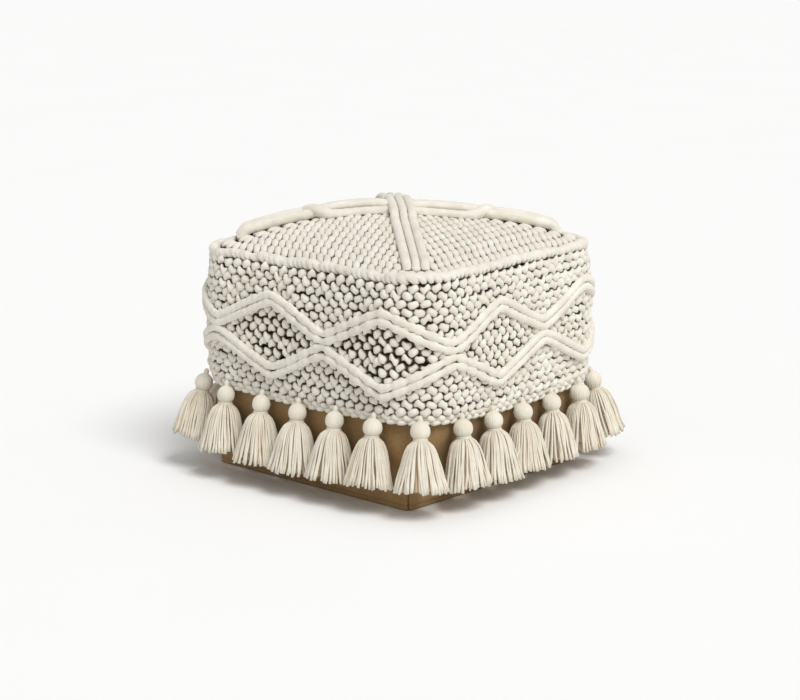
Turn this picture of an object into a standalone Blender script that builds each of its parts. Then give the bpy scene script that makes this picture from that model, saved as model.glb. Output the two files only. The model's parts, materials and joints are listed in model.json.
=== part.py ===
"""Square floor cushion: a canvas box cushion in a thick knitted slip cover with tassels.

Units are metres, +Z is up, and the origin is the middle of the underside. The sides of the
cover run along X and Y, and the foot of the canvas box is turned a little beneath it.
"""
import math

import bmesh
import bpy
from mathutils import Matrix, Vector

# Canvas box cushion, which is the insert
FOOT_HALF = 0.192                 # half width where the box stands
SEAT_HALF = 0.205                 # half width inside the cover
FOOT_CORNER = 0.010               # corner radii seen from above
SEAT_CORNER = 0.060
FOOT_TURN = math.radians(-3.0)    # turn of the foot under the cover
FOOT_TOP = 0.036                  # the walls stand straight up to here
SHOULDER_Z = 0.120                # and are as wide as the seat from here
WALL_TOP = 0.3142
CANVAS = 0.003                    # thickness of a canvas panel with its lining
SEAM = 0.010                      # part of a side left open at each corner seam
GAP = 0.0006                      # clearance between pieces that touch
DOME_GAP = 0.0016                 # the same between the crowned layers of the seat
FOAM_INSET = 0.0048               # outer face of the canvas to the foam
FOAM_TOP = 0.2894
TOP_PANEL_HALF = 0.2043
TOP_PANEL_CORNER = 0.058
WADDING_HALF = 0.1995
WADDING_CORNER = 0.055

# Zip along the foot of the back wall
ZIP_Z = 0.0165                    # height of the zip's middle
TAPE_HEIGHT = 0.0065
TAPE_OPENING = 0.0015             # half the slit between the two tapes
TAPE_DEPTH = 0.001                # how far the tapes lie behind the canvas face
TAPE_THICKNESS = 0.0012
SLIDER_START = 0.135              # the slider's place along the wall when the zip is closed
SLIDER_LENGTH = 0.012
SLIDER_HALF_HEIGHT = 0.0045
SLIDER_WEB = 0.0011
SLIDER_CLEARANCE = 0.0003
PLATE = 0.0010                    # thickness of a slider plate, also of a puller ear
EAR_LENGTH = 0.003
EAR_REACH = 0.0030                # how far the ears stand out of the outer plate
EAR_SPACING = 0.0029              # middle of an ear above the middle of the zip
PIN_OUT = 0.0020                  # the puller's hinge line in front of the wall
PULLER_LENGTH = 0.028
PULLER_HALF_HEIGHT = 0.0032
PULLER_TONGUE = 0.0060
PULLER_TONGUE_HALF = 0.0020
PULLER_HALF_THICKNESS = 0.0006
PULLER_HEEL = 0.0012

# Knitted slip cover
WALL_HALF = 0.2215                # outer face of the knitted band
WALL_CORNER = 0.078
BAND_INNER = 0.2065
BAND_INNER_CORNER = 0.062
BAND_BEND_Z = 0.285               # the band stands straight up to here
BAND_SHOULDER_Z = 0.307           # and bulges a little on its way in to its top
BAND_BULGE = 0.001
BAND_TOP = 0.3195
BAND_TOP_HALF = 0.2145
BAND_TOP_CORNER = 0.070
HEM_Z = 0.1345                    # middle of the hem cord where it is highest
HEM_DROOP = 0.010                 # how far the hem hangs lower at one corner
HEM_DROOP_AT = 0.375              # that corner, as a fraction of the way round
HEM_SCALLOP = 0.003               # the hem lifts at corners and dips between them
HEM_HALF = 0.2145
HEM_CORNER = 0.072
HEM_RADIUS = 0.0070
ROLL_Z = 0.330
ROLL_HALF = 0.2095
ROLL_CORNER = 0.058
ROLL_RADIUS = 0.0095
KNIT_TOP_HALF = 0.1990
KNIT_TOP_CORNER = 0.050
KNIT_TOP_EDGE = 0.3315            # height of the top's upper face at its corners
KNIT_TOP_THICKNESS = 0.013
CROWN = 0.036                     # rise of the seat from its edge to its middle
CROWN_HALF = 0.210
CROWN_POWER = 4.0                 # how flat the seat is before it falls to its edges
CROWN_LEAN = 1.2                  # the seat is plumper towards one corner, per metre
DOME_RINGS = (0.25, 0.45, 0.62, 0.74, 0.83, 0.90, 0.95, 1.0)

# Raised cords of the cover
CORD_RADIUS = 0.0052
CORD_LIFT = 0.0062                # cord centre line in front of the band
CORD_OFFSET = 0.0062              # each cord of a pair above or below the pair's middle
ZIGZAG_REPEATS = 8
ZIGZAG_PHASE = 0.030              # the zigzag's low points lie this far round past u = 0
ZIGZAG_SWING = 0.0190
ZIGZAG_POINT = 0.96               # 1 gives sharp tips, 0 a plain wave
UPPER_ZIGZAG_Z = 0.2555
LOWER_ZIGZAG_Z = 0.1925
CABLE_REACH = 0.245               # length of each cable arm from the middle of the top
CABLE_SPACING = 0.0108
CABLE_LIFT = 0.0064
CROSSING_RISE = 0.0114            # the front to back cable climbs over the other one
CROSSING_HALF = 0.036

# Tassels
TASSEL_COUNT = 24
TASSEL_HALF = 0.2265              # ring that the tassels' loops hang on
TASSEL_CORNER = 0.080
TASSEL_HANG = 0.0060              # the loops are tied this far above the hem cord's middle
LEAN_SIDE = math.radians(7.0)     # outward lean against the box wall, along a side
LEAN_CORNER = math.radians(13.0)  # and at a corner
SKIRT_FLATTENING = 0.20           # how much thinner the skirt is towards the wall
TASSEL_PROFILE = (                # depth below the loop, radius
    (0.0020, 0.0035), (0.0090, 0.0045), (0.0140, 0.0122), (0.0210, 0.0140),
    (0.0290, 0.0120), (0.0335, 0.0095), (0.0400, 0.0165), (0.0600, 0.0245),
    (0.1040, 0.0336),
)
NECK_DEPTH = 0.0335

# Mesh resolution
FLAT_STEPS = 2
ARC_STEPS = 6
CORD_STEPS = 80
CORD_SIDES = 5
CABLE_STEPS = 28
TASSEL_SIDES = 8
SHARP_ANGLE = math.radians(50.0)  # edges sharper than this stay crisp

# Colours
CREAM = (0.79, 0.77, 0.70)
WARM_CREAM = (0.74, 0.69, 0.58)
TAN = (0.17, 0.10, 0.045)
FOAM_YELLOW = (0.80, 0.70, 0.42)
FIBRE_WHITE = (0.85, 0.85, 0.83)
TAPE_BROWN = (0.12, 0.07, 0.035)
ZIP_METAL = (0.45, 0.36, 0.22)


def smooth(t):
    """Ease from 0 to 1."""
    t = min(max(t, 0.0), 1.0)
    return t * t * (3.0 - 2.0 * t)


def square_point(v, half, corner):
    """Point and outward normal of a rounded square.

    v runs from 0 to 4 anticlockwise from the middle of the front (-Y) side. Within each
    unit the first and last quarters are straight and the middle half is the corner arc.
    """
    side = math.floor(v)
    q = v - side
    flat = half - corner
    angle = min(max((q - 0.25) / 0.5, 0.0), 1.0) * math.pi / 2
    along = flat * min(q / 0.25, 1.0)
    after = flat * max((q - 0.75) / 0.25, 0.0)
    normal = Vector((math.sin(angle), -math.cos(angle), 0.0))
    point = Vector((along, after - flat, 0.0)) + corner * normal
    turn = Matrix.Rotation(side * math.pi / 2, 3, "Z")
    return turn @ point, turn @ normal


def at_length(u, half, corner):
    """The v that lies the fraction u of the way round a rounded square."""
    flat = half - corner
    arc = math.pi / 2 * corner
    side, part = divmod((u % 1.0) * 4.0, 1.0)
    s = part * (2 * flat + arc)
    if s < flat:
        return side + 0.25 * s / flat
    if s < flat + arc:
        return side + 0.25 + 0.5 * (s - flat) / arc
    return side + 0.75 + 0.25 * (s - flat - arc) / flat


def side_stations(start, end):
    """Values of v for the sides from start to end, denser round the corners."""
    knots = []
    for side in range(math.floor(start) - 1, math.ceil(end) + 1):
        knots += [side + 0.25 * i / FLAT_STEPS for i in range(FLAT_STEPS)]
        knots += [side + 0.25 + 0.5 * i / ARC_STEPS for i in range(ARC_STEPS)]
        knots += [side + 0.75 + 0.25 * i / FLAT_STEPS for i in range(FLAT_STEPS)]
    inside = [k for k in knots if start + SEAM < k < end - SEAM]
    return [start] + inside + [end]


def full_round():
    """Values of v once round, without a repeated end."""
    return side_stations(0.0, 4.0)[:-1]


def crown(x, y):
    """Height of the seat's dome: zero at its edge, flat in the middle."""
    rise_x = 1.0 - min(abs(x) / CROWN_HALF, 1.0) ** CROWN_POWER
    rise_y = 1.0 - min(abs(y) / CROWN_HALF, 1.0) ** CROWN_POWER
    return CROWN * rise_x * rise_y * (1.0 + CROWN_LEAN * (y - x))


def hem_height(v):
    """Height of the hem cord: droops to one corner and dips between the corners."""
    u = v / 4.0
    droop = 0.5 * (1.0 + math.cos(2 * math.pi * (u - HEM_DROOP_AT)))
    return HEM_Z - HEM_DROOP * droop - HEM_SCALLOP * math.cos(2 * math.pi * v)


def box_wall(v, z, inset):
    """Point of the canvas box's wall, the given distance behind its outer face."""
    s = smooth((z - FOOT_TOP) / (SHOULDER_Z - FOOT_TOP))
    half = FOOT_HALF + (SEAT_HALF - FOOT_HALF) * s - inset
    corner = FOOT_CORNER + (SEAT_CORNER - FOOT_CORNER) * s - inset
    point = square_point(v, half, corner)[0]
    return Matrix.Rotation(FOOT_TURN * (1.0 - s), 3, "Z") @ point + Vector((0.0, 0.0, z))


def material(name, colour, roughness, metallic=0.0):
    """A plain Principled material."""
    mat = bpy.data.materials.new(name)
    mat.use_nodes = True
    shader = mat.node_tree.nodes["Principled BSDF"]
    shader.inputs["Base Color"].default_value = (*colour, 1.0)
    shader.inputs["Roughness"].default_value = roughness
    shader.inputs["Metallic"].default_value = metallic
    mat.diffuse_color = (*colour, 1.0)
    return mat


def add_object(name, points, faces, mat, parent=None, round_piece=True):
    """Make a closed mesh object whose faces all point out."""
    mesh = bpy.data.meshes.new(name)
    mesh.from_pydata([tuple(p) for p in points], [], faces)
    work = bmesh.new()
    work.from_mesh(mesh)
    bmesh.ops.recalc_face_normals(work, faces=work.faces)
    work.to_mesh(mesh)
    work.free()
    if round_piece:
        mesh.shade_smooth()
        mesh.set_sharp_from_angle(angle=SHARP_ANGLE)
    mesh.materials.append(mat)
    piece = bpy.data.objects.new(name, mesh)
    bpy.context.collection.objects.link(piece)
    piece.parent = parent
    return piece


def ring_faces(rings, size, wrap):
    """Quads between neighbouring rings of points, and from the last to the first if wrap."""
    faces = []
    for r in range(rings if wrap else rings - 1):
        here = r * size
        there = (r + 1) % rings * size
        for i in range(size):
            j = (i + 1) % size
            faces.append((here + i, here + j, there + j, there + i))
    return faces


def add_loft(name, rings, mat, parent=None):
    """A solid through rings of points, closed at both ends by a fan."""
    size = len(rings[0])
    points = [p for ring in rings for p in ring]
    faces = ring_faces(len(rings), size, False)
    for ring in (0, len(rings) - 1):
        pole = len(points)
        points.append(sum(rings[ring], Vector()) / size)
        first = ring * size
        faces += [(first + i, first + (i + 1) % size, pole) for i in range(size)]
    return add_object(name, points, faces, mat, parent)


def add_hoop(name, rings, mat, parent=None):
    """A solid ring through closed sections, the last joined to the first."""
    points = [p for ring in rings for p in ring]
    return add_object(name, points, ring_faces(len(rings), len(rings[0]), True), mat, parent)


def tube_section(centre, across, along, radius, sides):
    """Points round a cord: across and along are unit vectors square to its route."""
    angles = [2 * math.pi * (i + 0.5) / sides for i in range(sides)]
    return [centre + radius * (math.cos(a) * across + math.sin(a) * along) for a in angles]


def add_wall_panel(name, start, end, bottom, top, outer, inner, mat, parent):
    """A panel of the box wall between two corner seams and two heights."""
    stations = side_stations(start, end)
    levels = [bottom, top]
    for z in (FOOT_TOP, 0.5 * (FOOT_TOP + SHOULDER_Z), SHOULDER_Z):
        if bottom + CANVAS < z < top - CANVAS:
            levels.insert(-1, z)
    rings = []
    for v in stations:
        front = [box_wall(v, z, outer) for z in levels]
        back = [box_wall(v, z, inner) for z in reversed(levels)]
        rings.append(front + back)
    count = len(levels)
    points = [p for ring in rings for p in ring]
    faces = ring_faces(len(rings), 2 * count, False)
    for first in (0, (len(rings) - 1) * 2 * count):
        for i in range(count - 1):
            low = first + i
            far = first + 2 * count - 1 - i
            faces.append((low, low + 1, far - 1, far))
    return add_object(name, points, faces, mat, parent)


def add_dome(name, half, corner, upper, lower, mat, parent):
    """A crowned slab: concentric rounded squares under two height functions."""
    outline = [square_point(v, half, corner)[0] for v in full_round()]
    above = [[Vector((s * p.x, s * p.y, upper(s * p.x, s * p.y))) for p in outline]
             for s in DOME_RINGS]
    below = [[Vector((s * p.x, s * p.y, lower(s * p.x, s * p.y))) for p in outline]
             for s in reversed(DOME_RINGS)]
    return add_loft(name, above + below, mat, parent)


def add_insert(parent):
    """The canvas box cushion with its foam, wadding and panels."""
    canvas = material("tan_canvas", TAN, 0.9)
    foam = material("foam", FOAM_YELLOW, 0.95)
    fibre = material("fibre", FIBRE_WHITE, 1.0)

    foam_levels = (CANVAS + GAP, FOOT_TOP, 0.5 * (FOOT_TOP + SHOULDER_Z), SHOULDER_Z, FOAM_TOP)
    rings = [[box_wall(v, z, FOAM_INSET) for v in full_round()] for z in foam_levels]
    add_loft("foam_core", rings, foam, parent)

    panel_top = KNIT_TOP_EDGE - KNIT_TOP_THICKNESS - DOME_GAP
    wadding_top = panel_top - CANVAS - DOME_GAP
    add_dome("fibre_wadding", WADDING_HALF, WADDING_CORNER,
             lambda x, y: wadding_top + crown(x, y), lambda x, y: FOAM_TOP + GAP, fibre, parent)
    add_dome("canvas_top_panel", TOP_PANEL_HALF, TOP_PANEL_CORNER,
             lambda x, y: panel_top + crown(x, y),
             lambda x, y: panel_top - CANVAS + crown(x, y), canvas, parent)
    floor_rings = [[box_wall(v, z, 0.0) for v in full_round()] for z in (0.0, CANVAS)]
    add_loft("canvas_bottom_panel", floor_rings, canvas, parent)

    low = CANVAS + GAP
    sides = (("canvas_front_panel", 3.5), ("canvas_right_panel", 0.5), ("canvas_left_panel", 2.5))
    for name, start in sides:
        add_wall_panel(name, start + SEAM, start + 1 - SEAM, low, WALL_TOP, 0.0, CANVAS,
                       canvas, parent)
    tape_top = ZIP_Z + TAPE_OPENING + TAPE_HEIGHT
    tape_bottom = ZIP_Z - TAPE_OPENING - TAPE_HEIGHT
    back = (1.5 + SEAM, 2.5 - SEAM)
    add_wall_panel("canvas_back_panel", *back, tape_top + GAP, WALL_TOP, 0.0, CANVAS,
                   canvas, parent)
    add_wall_panel("canvas_back_strip", *back, low, tape_bottom - GAP, 0.0, CANVAS,
                   canvas, parent)


def add_zip(parent):
    """Two tapes along the back of the box, and the slider with its hinged puller."""
    tape = material("zip_tape", TAPE_BROWN, 0.8)
    metal = material("zip_metal", ZIP_METAL, 0.35, 1.0)
    behind = TAPE_DEPTH + TAPE_THICKNESS
    back = (1.5 + SEAM, 2.5 - SEAM)
    add_wall_panel("zip_tape_upper", *back, ZIP_Z + TAPE_OPENING,
                   ZIP_Z + TAPE_OPENING + TAPE_HEIGHT, TAPE_DEPTH, behind, tape, parent)
    add_wall_panel("zip_tape_lower", *back, ZIP_Z - TAPE_OPENING - TAPE_HEIGHT,
                   ZIP_Z - TAPE_OPENING, TAPE_DEPTH, behind, tape, parent)

    turn = Matrix.Rotation(FOOT_TURN, 4, "Z")
    place = turn @ Matrix.Translation((SLIDER_START, FOOT_HALF, ZIP_Z))
    slider = add_slider(metal, parent)
    slider.matrix_local = place
    puller = add_puller(metal, parent)
    puller.matrix_local = place @ Matrix.Translation((0.0, PIN_OUT, 0.0))


def prism(outline, start, end, axis):
    """Points and faces of an outline carried along one axis."""
    count = len(outline)
    points = []
    for place in (start, end):
        for a, b in outline:
            points.append({"X": (place, a, b), "Y": (a, place, b)}[axis])
    faces = [tuple(range(count)), tuple(range(count, 2 * count))]
    faces += [(i, (i + 1) % count, count + (i + 1) % count, count + i) for i in range(count)]
    return points, faces


def add_slider(metal, parent):
    """Slider: two plates on a web through the slit, and two ears for the puller."""
    outer_in = -TAPE_DEPTH + SLIDER_CLEARANCE
    outer_out = outer_in + PLATE
    inner_out = -TAPE_DEPTH - TAPE_THICKNESS - SLIDER_CLEARANCE
    inner_in = inner_out - PLATE
    half = SLIDER_HALF_HEIGHT
    web = SLIDER_WEB
    right_side = [(outer_out, half), (outer_in, half), (outer_in, web), (inner_out, web),
                  (inner_out, half), (inner_in, half)]
    outline = right_side + [(y, -z) for y, z in reversed(right_side)]
    reach = 0.5 * SLIDER_LENGTH
    points, faces = prism(outline, -reach, reach, "X")
    slider = add_object("zip_slider", points, faces, metal, parent, False)
    for side in (-1, 1):
        ear = [(outer_out - 0.5 * PLATE, side * EAR_SPACING - 0.5 * PLATE),
               (outer_out + EAR_REACH, side * EAR_SPACING - 0.5 * PLATE),
               (outer_out + EAR_REACH, side * EAR_SPACING + 0.5 * PLATE),
               (outer_out - 0.5 * PLATE, side * EAR_SPACING + 0.5 * PLATE)]
        points, faces = prism(ear, -0.5 * EAR_LENGTH, 0.5 * EAR_LENGTH, "X")
        lug = add_object("ear_tool", points, faces, metal, slider, False)
        lug.hide_render = True
        lug.display_type = "WIRE"
        join = slider.modifiers.new("ear", "BOOLEAN")
        join.operation = "UNION"
        join.object = lug
    return slider


def add_puller(metal, parent):
    """Puller: a flat tab with a narrow tongue between the slider's ears."""
    heel, neck, end = -PULLER_HEEL, PULLER_TONGUE, PULLER_LENGTH
    thin, wide = PULLER_TONGUE_HALF, PULLER_HALF_HEIGHT
    upper = [(heel, thin), (neck, thin), (neck + thin, wide), (end - wide, wide), (end, thin)]
    outline = upper + [(x, -z) for x, z in reversed(upper)]
    points, faces = prism(outline, -PULLER_HALF_THICKNESS, PULLER_HALF_THICKNESS, "Y")
    return add_object("zip_puller", points, faces, metal, parent, False)


def add_cover(parent):
    """Knitted band, hem cord, rolled top edge and crowned top."""
    knit = material("cream_knit", CREAM, 0.9)
    band = []
    shoulder = 0.5 * (WALL_HALF + BAND_TOP_HALF) + BAND_BULGE
    for v in full_round():
        low = hem_height(v) + HEM_RADIUS + GAP
        section = ((WALL_HALF, WALL_CORNER, low), (WALL_HALF, WALL_CORNER, BAND_BEND_Z),
                   (shoulder, WALL_CORNER, BAND_SHOULDER_Z),
                   (BAND_TOP_HALF, BAND_TOP_CORNER, BAND_TOP),
                   (BAND_INNER, BAND_INNER_CORNER, BAND_TOP),
                   (BAND_INNER, BAND_INNER_CORNER, low))
        ring = [square_point(v, half, corner)[0] + Vector((0.0, 0.0, z))
                for half, corner, z in section]
        band.append(ring)
    add_hoop("knit_side_band", band, knit, parent)

    up = Vector((0.0, 0.0, 1.0))
    hem = []
    roll = []
    for v in full_round():
        point, normal = square_point(v, HEM_HALF, HEM_CORNER)
        hem.append(tube_section(point + hem_height(v) * up, normal, up, HEM_RADIUS, CORD_SIDES))
        point, normal = square_point(v, ROLL_HALF, ROLL_CORNER)
        roll.append(tube_section(point + ROLL_Z * up, normal, up, ROLL_RADIUS, CORD_SIDES + 1))
    add_hoop("hem_cord", hem, knit, parent)
    add_hoop("top_edge_roll", roll, knit, parent)
    add_dome("knit_top", KNIT_TOP_HALF, KNIT_TOP_CORNER,
             lambda x, y: KNIT_TOP_EDGE + crown(x, y),
             lambda x, y: KNIT_TOP_EDGE - KNIT_TOP_THICKNESS + crown(x, y), knit, parent)


def zigzag(u):
    """Wave from -1 to 1, pointed but with rounded tips, low at the phase."""
    wave = -math.cos(2 * math.pi * (ZIGZAG_REPEATS * (u - ZIGZAG_PHASE)))
    return math.asin(ZIGZAG_POINT * wave) / math.asin(ZIGZAG_POINT)


def add_zigzags(parent):
    """Two pairs of cords zigzagging round the band, so that they enclose diamonds."""
    knit = material("cream_cord", CREAM, 0.85)
    cords = (("zigzag_cord_1", UPPER_ZIGZAG_Z + CORD_OFFSET, 1),
             ("zigzag_cord_2", UPPER_ZIGZAG_Z - CORD_OFFSET, 1),
             ("zigzag_cord_3", LOWER_ZIGZAG_Z + CORD_OFFSET, -1),
             ("zigzag_cord_4", LOWER_ZIGZAG_Z - CORD_OFFSET, -1))
    half = WALL_HALF + CORD_LIFT
    corner = WALL_CORNER + CORD_LIFT
    for name, middle, sign in cords:
        route = []
        normals = []
        for i in range(CORD_STEPS):
            u = i / CORD_STEPS
            point, normal = square_point(at_length(u, half, corner), half, corner)
            point.z = middle + sign * ZIGZAG_SWING * zigzag(u)
            route.append(point)
            normals.append(normal)
        rings = []
        for i in range(CORD_STEPS):
            ahead = (route[(i + 1) % CORD_STEPS] - route[i - 1]).normalized()
            side = normals[i].cross(ahead).normalized()
            rings.append(tube_section(route[i], normals[i], side, CORD_RADIUS, CORD_SIDES))
        add_hoop(name, rings, knit, parent)


def add_cables(parent):
    """Two cables of three cords along the top's diagonals, one climbing over the other."""
    knit = material("cream_cable", CREAM, 0.85)
    up = Vector((0.0, 0.0, 1.0))
    cables = (("front_back_cable", Vector((1.0, -1.0, 0.0)).normalized(), CROSSING_RISE),
              ("left_right_cable", Vector((1.0, 1.0, 0.0)).normalized(), 0.0))
    for name, ahead, rise in cables:
        across = up.cross(ahead)
        for number, offset in enumerate((-CABLE_SPACING, 0.0, CABLE_SPACING), start=1):
            rings = []
            for i in range(CABLE_STEPS + 1):
                t = CABLE_REACH * (2.0 * i / CABLE_STEPS - 1.0)
                point = t * ahead + offset * across
                hump = rise * smooth(2.0 * (1.0 - abs(t) / (2.0 * CROSSING_HALF)))
                point.z = KNIT_TOP_EDGE + crown(point.x, point.y) + CABLE_LIFT + hump
                rings.append(tube_section(point, across, up, CORD_RADIUS, CORD_SIDES))
            add_loft(name + "_" + str(number), rings, knit, parent)


def tassel_place(number):
    """Where a tassel's loop hangs, its outward direction and its lean."""
    u = (number - 1) / TASSEL_COUNT
    v = at_length(u, TASSEL_HALF, TASSEL_CORNER)
    point, normal = square_point(v, TASSEL_HALF, TASSEL_CORNER)
    point.z = hem_height(v) + TASSEL_HANG
    cornering = smooth(abs(2.0 * normal.x * normal.y))
    lean = LEAN_SIDE + (LEAN_CORNER - LEAN_SIDE) * cornering
    return point, normal, lean


def add_tassels(parent):
    """One turned solid per tassel, hanging from its loop and leaning on the box."""
    yarn = material("tassel_yarn", WARM_CREAM, 0.95)
    bottom = TASSEL_PROFILE[-1][0]
    for number in range(1, TASSEL_COUNT + 1):
        place, normal, lean = tassel_place(number)
        rings = []
        for depth, radius in TASSEL_PROFILE:
            flat = 1.0 - SKIRT_FLATTENING * smooth((depth - NECK_DEPTH) / (bottom - NECK_DEPTH))
            ring = []
            for i in range(TASSEL_SIDES):
                angle = 2 * math.pi * (i + 0.5) / TASSEL_SIDES
                ring.append(Vector((radius * math.cos(angle), flat * radius * math.sin(angle),
                                    -depth)))
            rings.append(ring)
        tassel = add_loft("tassel_%02d" % number, rings, yarn, parent)
        facing = math.atan2(normal.x, -normal.y)
        turn = Matrix.Rotation(facing, 4, "Z") @ Matrix.Rotation(-lean, 4, "X")
        tassel.matrix_local = Matrix.Translation(place) @ turn


def main():
    """Clear the scene and build the cushion."""
    for old in list(bpy.data.objects):
        bpy.data.objects.remove(old)
    insert = bpy.data.objects.new("insert", None)
    cover = bpy.data.objects.new("cover", None)
    for group in (insert, cover):
        bpy.context.collection.objects.link(group)
    add_insert(insert)
    add_zip(insert)
    add_cover(cover)
    add_zigzags(cover)
    add_cables(cover)
    add_tassels(cover)


main()
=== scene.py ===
"""A square floor cushion: a canvas box cushion in a thick knitted slip cover with tassels.

The frame gives the places and sizes of the cushion's parts, and this add-on works out the
yarn, cord, canvas and tassel surfaces that stand on them. Lengths are in metres.
"""

import json

import bpy
import numpy as np
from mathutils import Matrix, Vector

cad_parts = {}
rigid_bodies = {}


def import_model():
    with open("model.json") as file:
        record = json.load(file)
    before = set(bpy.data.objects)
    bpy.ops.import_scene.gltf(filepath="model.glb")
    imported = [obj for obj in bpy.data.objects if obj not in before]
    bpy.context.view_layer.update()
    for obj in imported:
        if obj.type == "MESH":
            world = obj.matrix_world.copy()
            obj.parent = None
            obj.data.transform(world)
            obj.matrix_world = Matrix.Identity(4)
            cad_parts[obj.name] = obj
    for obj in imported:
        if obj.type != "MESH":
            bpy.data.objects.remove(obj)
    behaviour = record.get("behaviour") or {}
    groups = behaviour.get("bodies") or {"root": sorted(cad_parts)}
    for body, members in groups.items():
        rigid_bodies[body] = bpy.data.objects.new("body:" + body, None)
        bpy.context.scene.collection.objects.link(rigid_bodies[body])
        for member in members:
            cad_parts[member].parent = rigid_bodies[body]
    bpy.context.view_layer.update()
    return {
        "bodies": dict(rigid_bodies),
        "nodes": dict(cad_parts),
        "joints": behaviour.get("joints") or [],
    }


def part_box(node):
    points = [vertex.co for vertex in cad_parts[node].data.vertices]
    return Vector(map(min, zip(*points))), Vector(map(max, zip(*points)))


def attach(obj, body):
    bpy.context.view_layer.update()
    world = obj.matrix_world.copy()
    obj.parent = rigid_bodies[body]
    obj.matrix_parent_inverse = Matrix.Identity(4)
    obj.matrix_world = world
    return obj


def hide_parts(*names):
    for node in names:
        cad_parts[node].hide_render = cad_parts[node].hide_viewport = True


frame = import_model()

bl_info = {
    "name": "Knitted Floor Cushion",
    "version": (1, 0, 0),
    "blender": (4, 5, 0),
    "location": "3D View > Sidebar > Floor Cushion",
    "description": "Makes a tasselled, hand-knitted floor cushion on its frame",
    "category": "Add Mesh",
}

TURN = 2.0 * np.pi
UP = np.array((0.0, 0.0, 1.0))
RELIEF_LOW = -0.0061          # yarn this far behind the knitting's face gets the full painted shade of its hollows
RELIEF_HIGH = -0.0021         # and this far behind it is out in the light
CREASE = 0.0014               # a swept yarn's sides count as this much deeper than they lie, for painted shade at their sides


# ---------------------------------------------------------------- places from the frame

def span(node):
    """Lowest and highest corner of a frame node."""
    low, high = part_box(node)
    return np.array(low), np.array(high)


BAND_LOW, BAND_HIGH = span("knit_side_band")
WALL_HALF = BAND_HIGH[0]
WALL_CORNER = 0.078
BAND_TOP = BAND_HIGH[2]
ROLL_LOW, ROLL_HIGH = span("top_edge_roll")
ROLL_Z = 0.5 * (ROLL_LOW[2] + ROLL_HIGH[2])
ROLL_RADIUS = 0.5 * (ROLL_HIGH[2] - ROLL_LOW[2])
ROLL_HALF = ROLL_HIGH[0] - 0.88 * ROLL_RADIUS
ROLL_CORNER = 0.058
TOP_HIGH = span("knit_top")[1]
TOP_EDGE_Z = ROLL_Z + 0.0015
CROWN = 0.036
CROWN_HALF = 0.210
CROWN_POWER = 4.0
CROWN_LEAN = 1.2              # the seat is plumper away from the front corner, per metre
PLUMP = 0.0135                # how far the knitting swells over the seat's middle
PLUMP_SPREAD = 0.12
PLUMP_MIDDLE = -0.020         # in both x and y
HEM_HIGH = span("hem_cord")[1]
HEM_RADIUS = 0.0070
HEM_HALF = HEM_HIGH[0] - 0.9 * HEM_RADIUS
HEM_CORNER = 0.072
HANG = 0.0060                 # the tassels' loops are tied this far above the hem's middle
HEM_WAVES = 6                 # waves round the cover that the hem's height is made of

TASSELS = sorted(name for name in frame["bodies"] if name.startswith("tassel_"))
HINGES = {joint["child"]: joint for joint in frame["joints"]}
LOOP_HEIGHTS = np.array([HINGES[name]["pos_m"][2] for name in TASSELS])

ZIGZAG_REPEATS = 8
ZIGZAG_PHASE = 0.030
POINTED = 0.97                # 1 is a zigzag with sharp tips, and near 0 is an even wave
UPPER_Z = 0.5 * (span("zigzag_cord_1")[0][2] + span("zigzag_cord_2")[1][2])
LOWER_Z = 0.5 * (span("zigzag_cord_3")[0][2] + span("zigzag_cord_4")[1][2])


def outline(u, half, corner):
    """Points and outward normals at fractions u of the way round a rounded square.

    Each quarter is half a straight side, a corner arc and half of the next side, and u runs
    along their whole length from the middle of the front, anticlockwise from above.
    """
    flat = half - corner
    arc = 0.25 * TURN * corner
    side, part = np.divmod(np.mod(u, 1.0) * 4.0, 1.0)
    length = part * (2 * flat + arc)
    angle = np.clip((length - flat) / corner, 0.0, 0.25 * TURN)
    x = np.minimum(length, flat) + corner * np.sin(angle)
    y = np.maximum(length - flat - arc, 0.0) - flat - corner * np.cos(angle)
    c, s = np.cos(0.25 * TURN * side), np.sin(0.25 * TURN * side)
    zero = np.zeros_like(x)
    point = np.stack([c * x - s * y, s * x + c * y, zero], -1)
    nx, ny = np.sin(angle), -np.cos(angle)
    return point, np.stack([c * nx - s * ny, s * nx + c * ny, zero], -1)


def around(half, corner):
    """Length of a rounded square's outline."""
    return 8 * (half - corner) + TURN * corner


def ease(t):
    """Smooth step from 0 to 1."""
    t = np.clip(t, 0.0, 1.0)
    return t * t * (3.0 - 2.0 * t)


def raised(angle):
    """Raised cosine: 1 at a whole number of turns and 0 halfway between."""
    return 0.5 + 0.5 * np.cos(angle)


def hem_height(u):
    """Height of the hem's middle: HANG below the first few waves of the loops' heights."""
    waves = np.fft.rfft(LOOP_HEIGHTS) / len(LOOP_HEIGHTS)
    height = np.full(np.shape(u), waves[0].real)
    for k in range(1, HEM_WAVES + 1):
        height = height + 2 * (waves[k] * np.exp(1j * TURN * k * np.asarray(u))).real
    return height - HANG


def crown(x, y):
    """Rise of the seat over its edge: two flat arches multiplied, with a slight lean."""
    rise_x = 1.0 - np.minimum(np.abs(x) / CROWN_HALF, 1.0) ** CROWN_POWER
    rise_y = 1.0 - np.minimum(np.abs(y) / CROWN_HALF, 1.0) ** CROWN_POWER
    return CROWN * rise_x * rise_y * (1.0 + CROWN_LEAN * (y - x))


def dome(x, y):
    """Height of the knitting's face on the top: the seat's rise and a soft round swelling."""
    distance = (x - PLUMP_MIDDLE) ** 2 + (y - PLUMP_MIDDLE) ** 2
    return TOP_EDGE_Z + crown(x, y) + PLUMP * np.exp(-distance / PLUMP_SPREAD ** 2)


def dome_normal(x, y):
    """Unit normal of the knitted top, from small differences of its height."""
    step = 1e-4
    slope_x = (dome(x + step, y) - dome(x - step, y)) / (2 * step)
    slope_y = (dome(x, y + step) - dome(x, y - step)) / (2 * step)
    return unit(np.stack([-slope_x, -slope_y, np.ones_like(slope_x)], -1))


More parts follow.
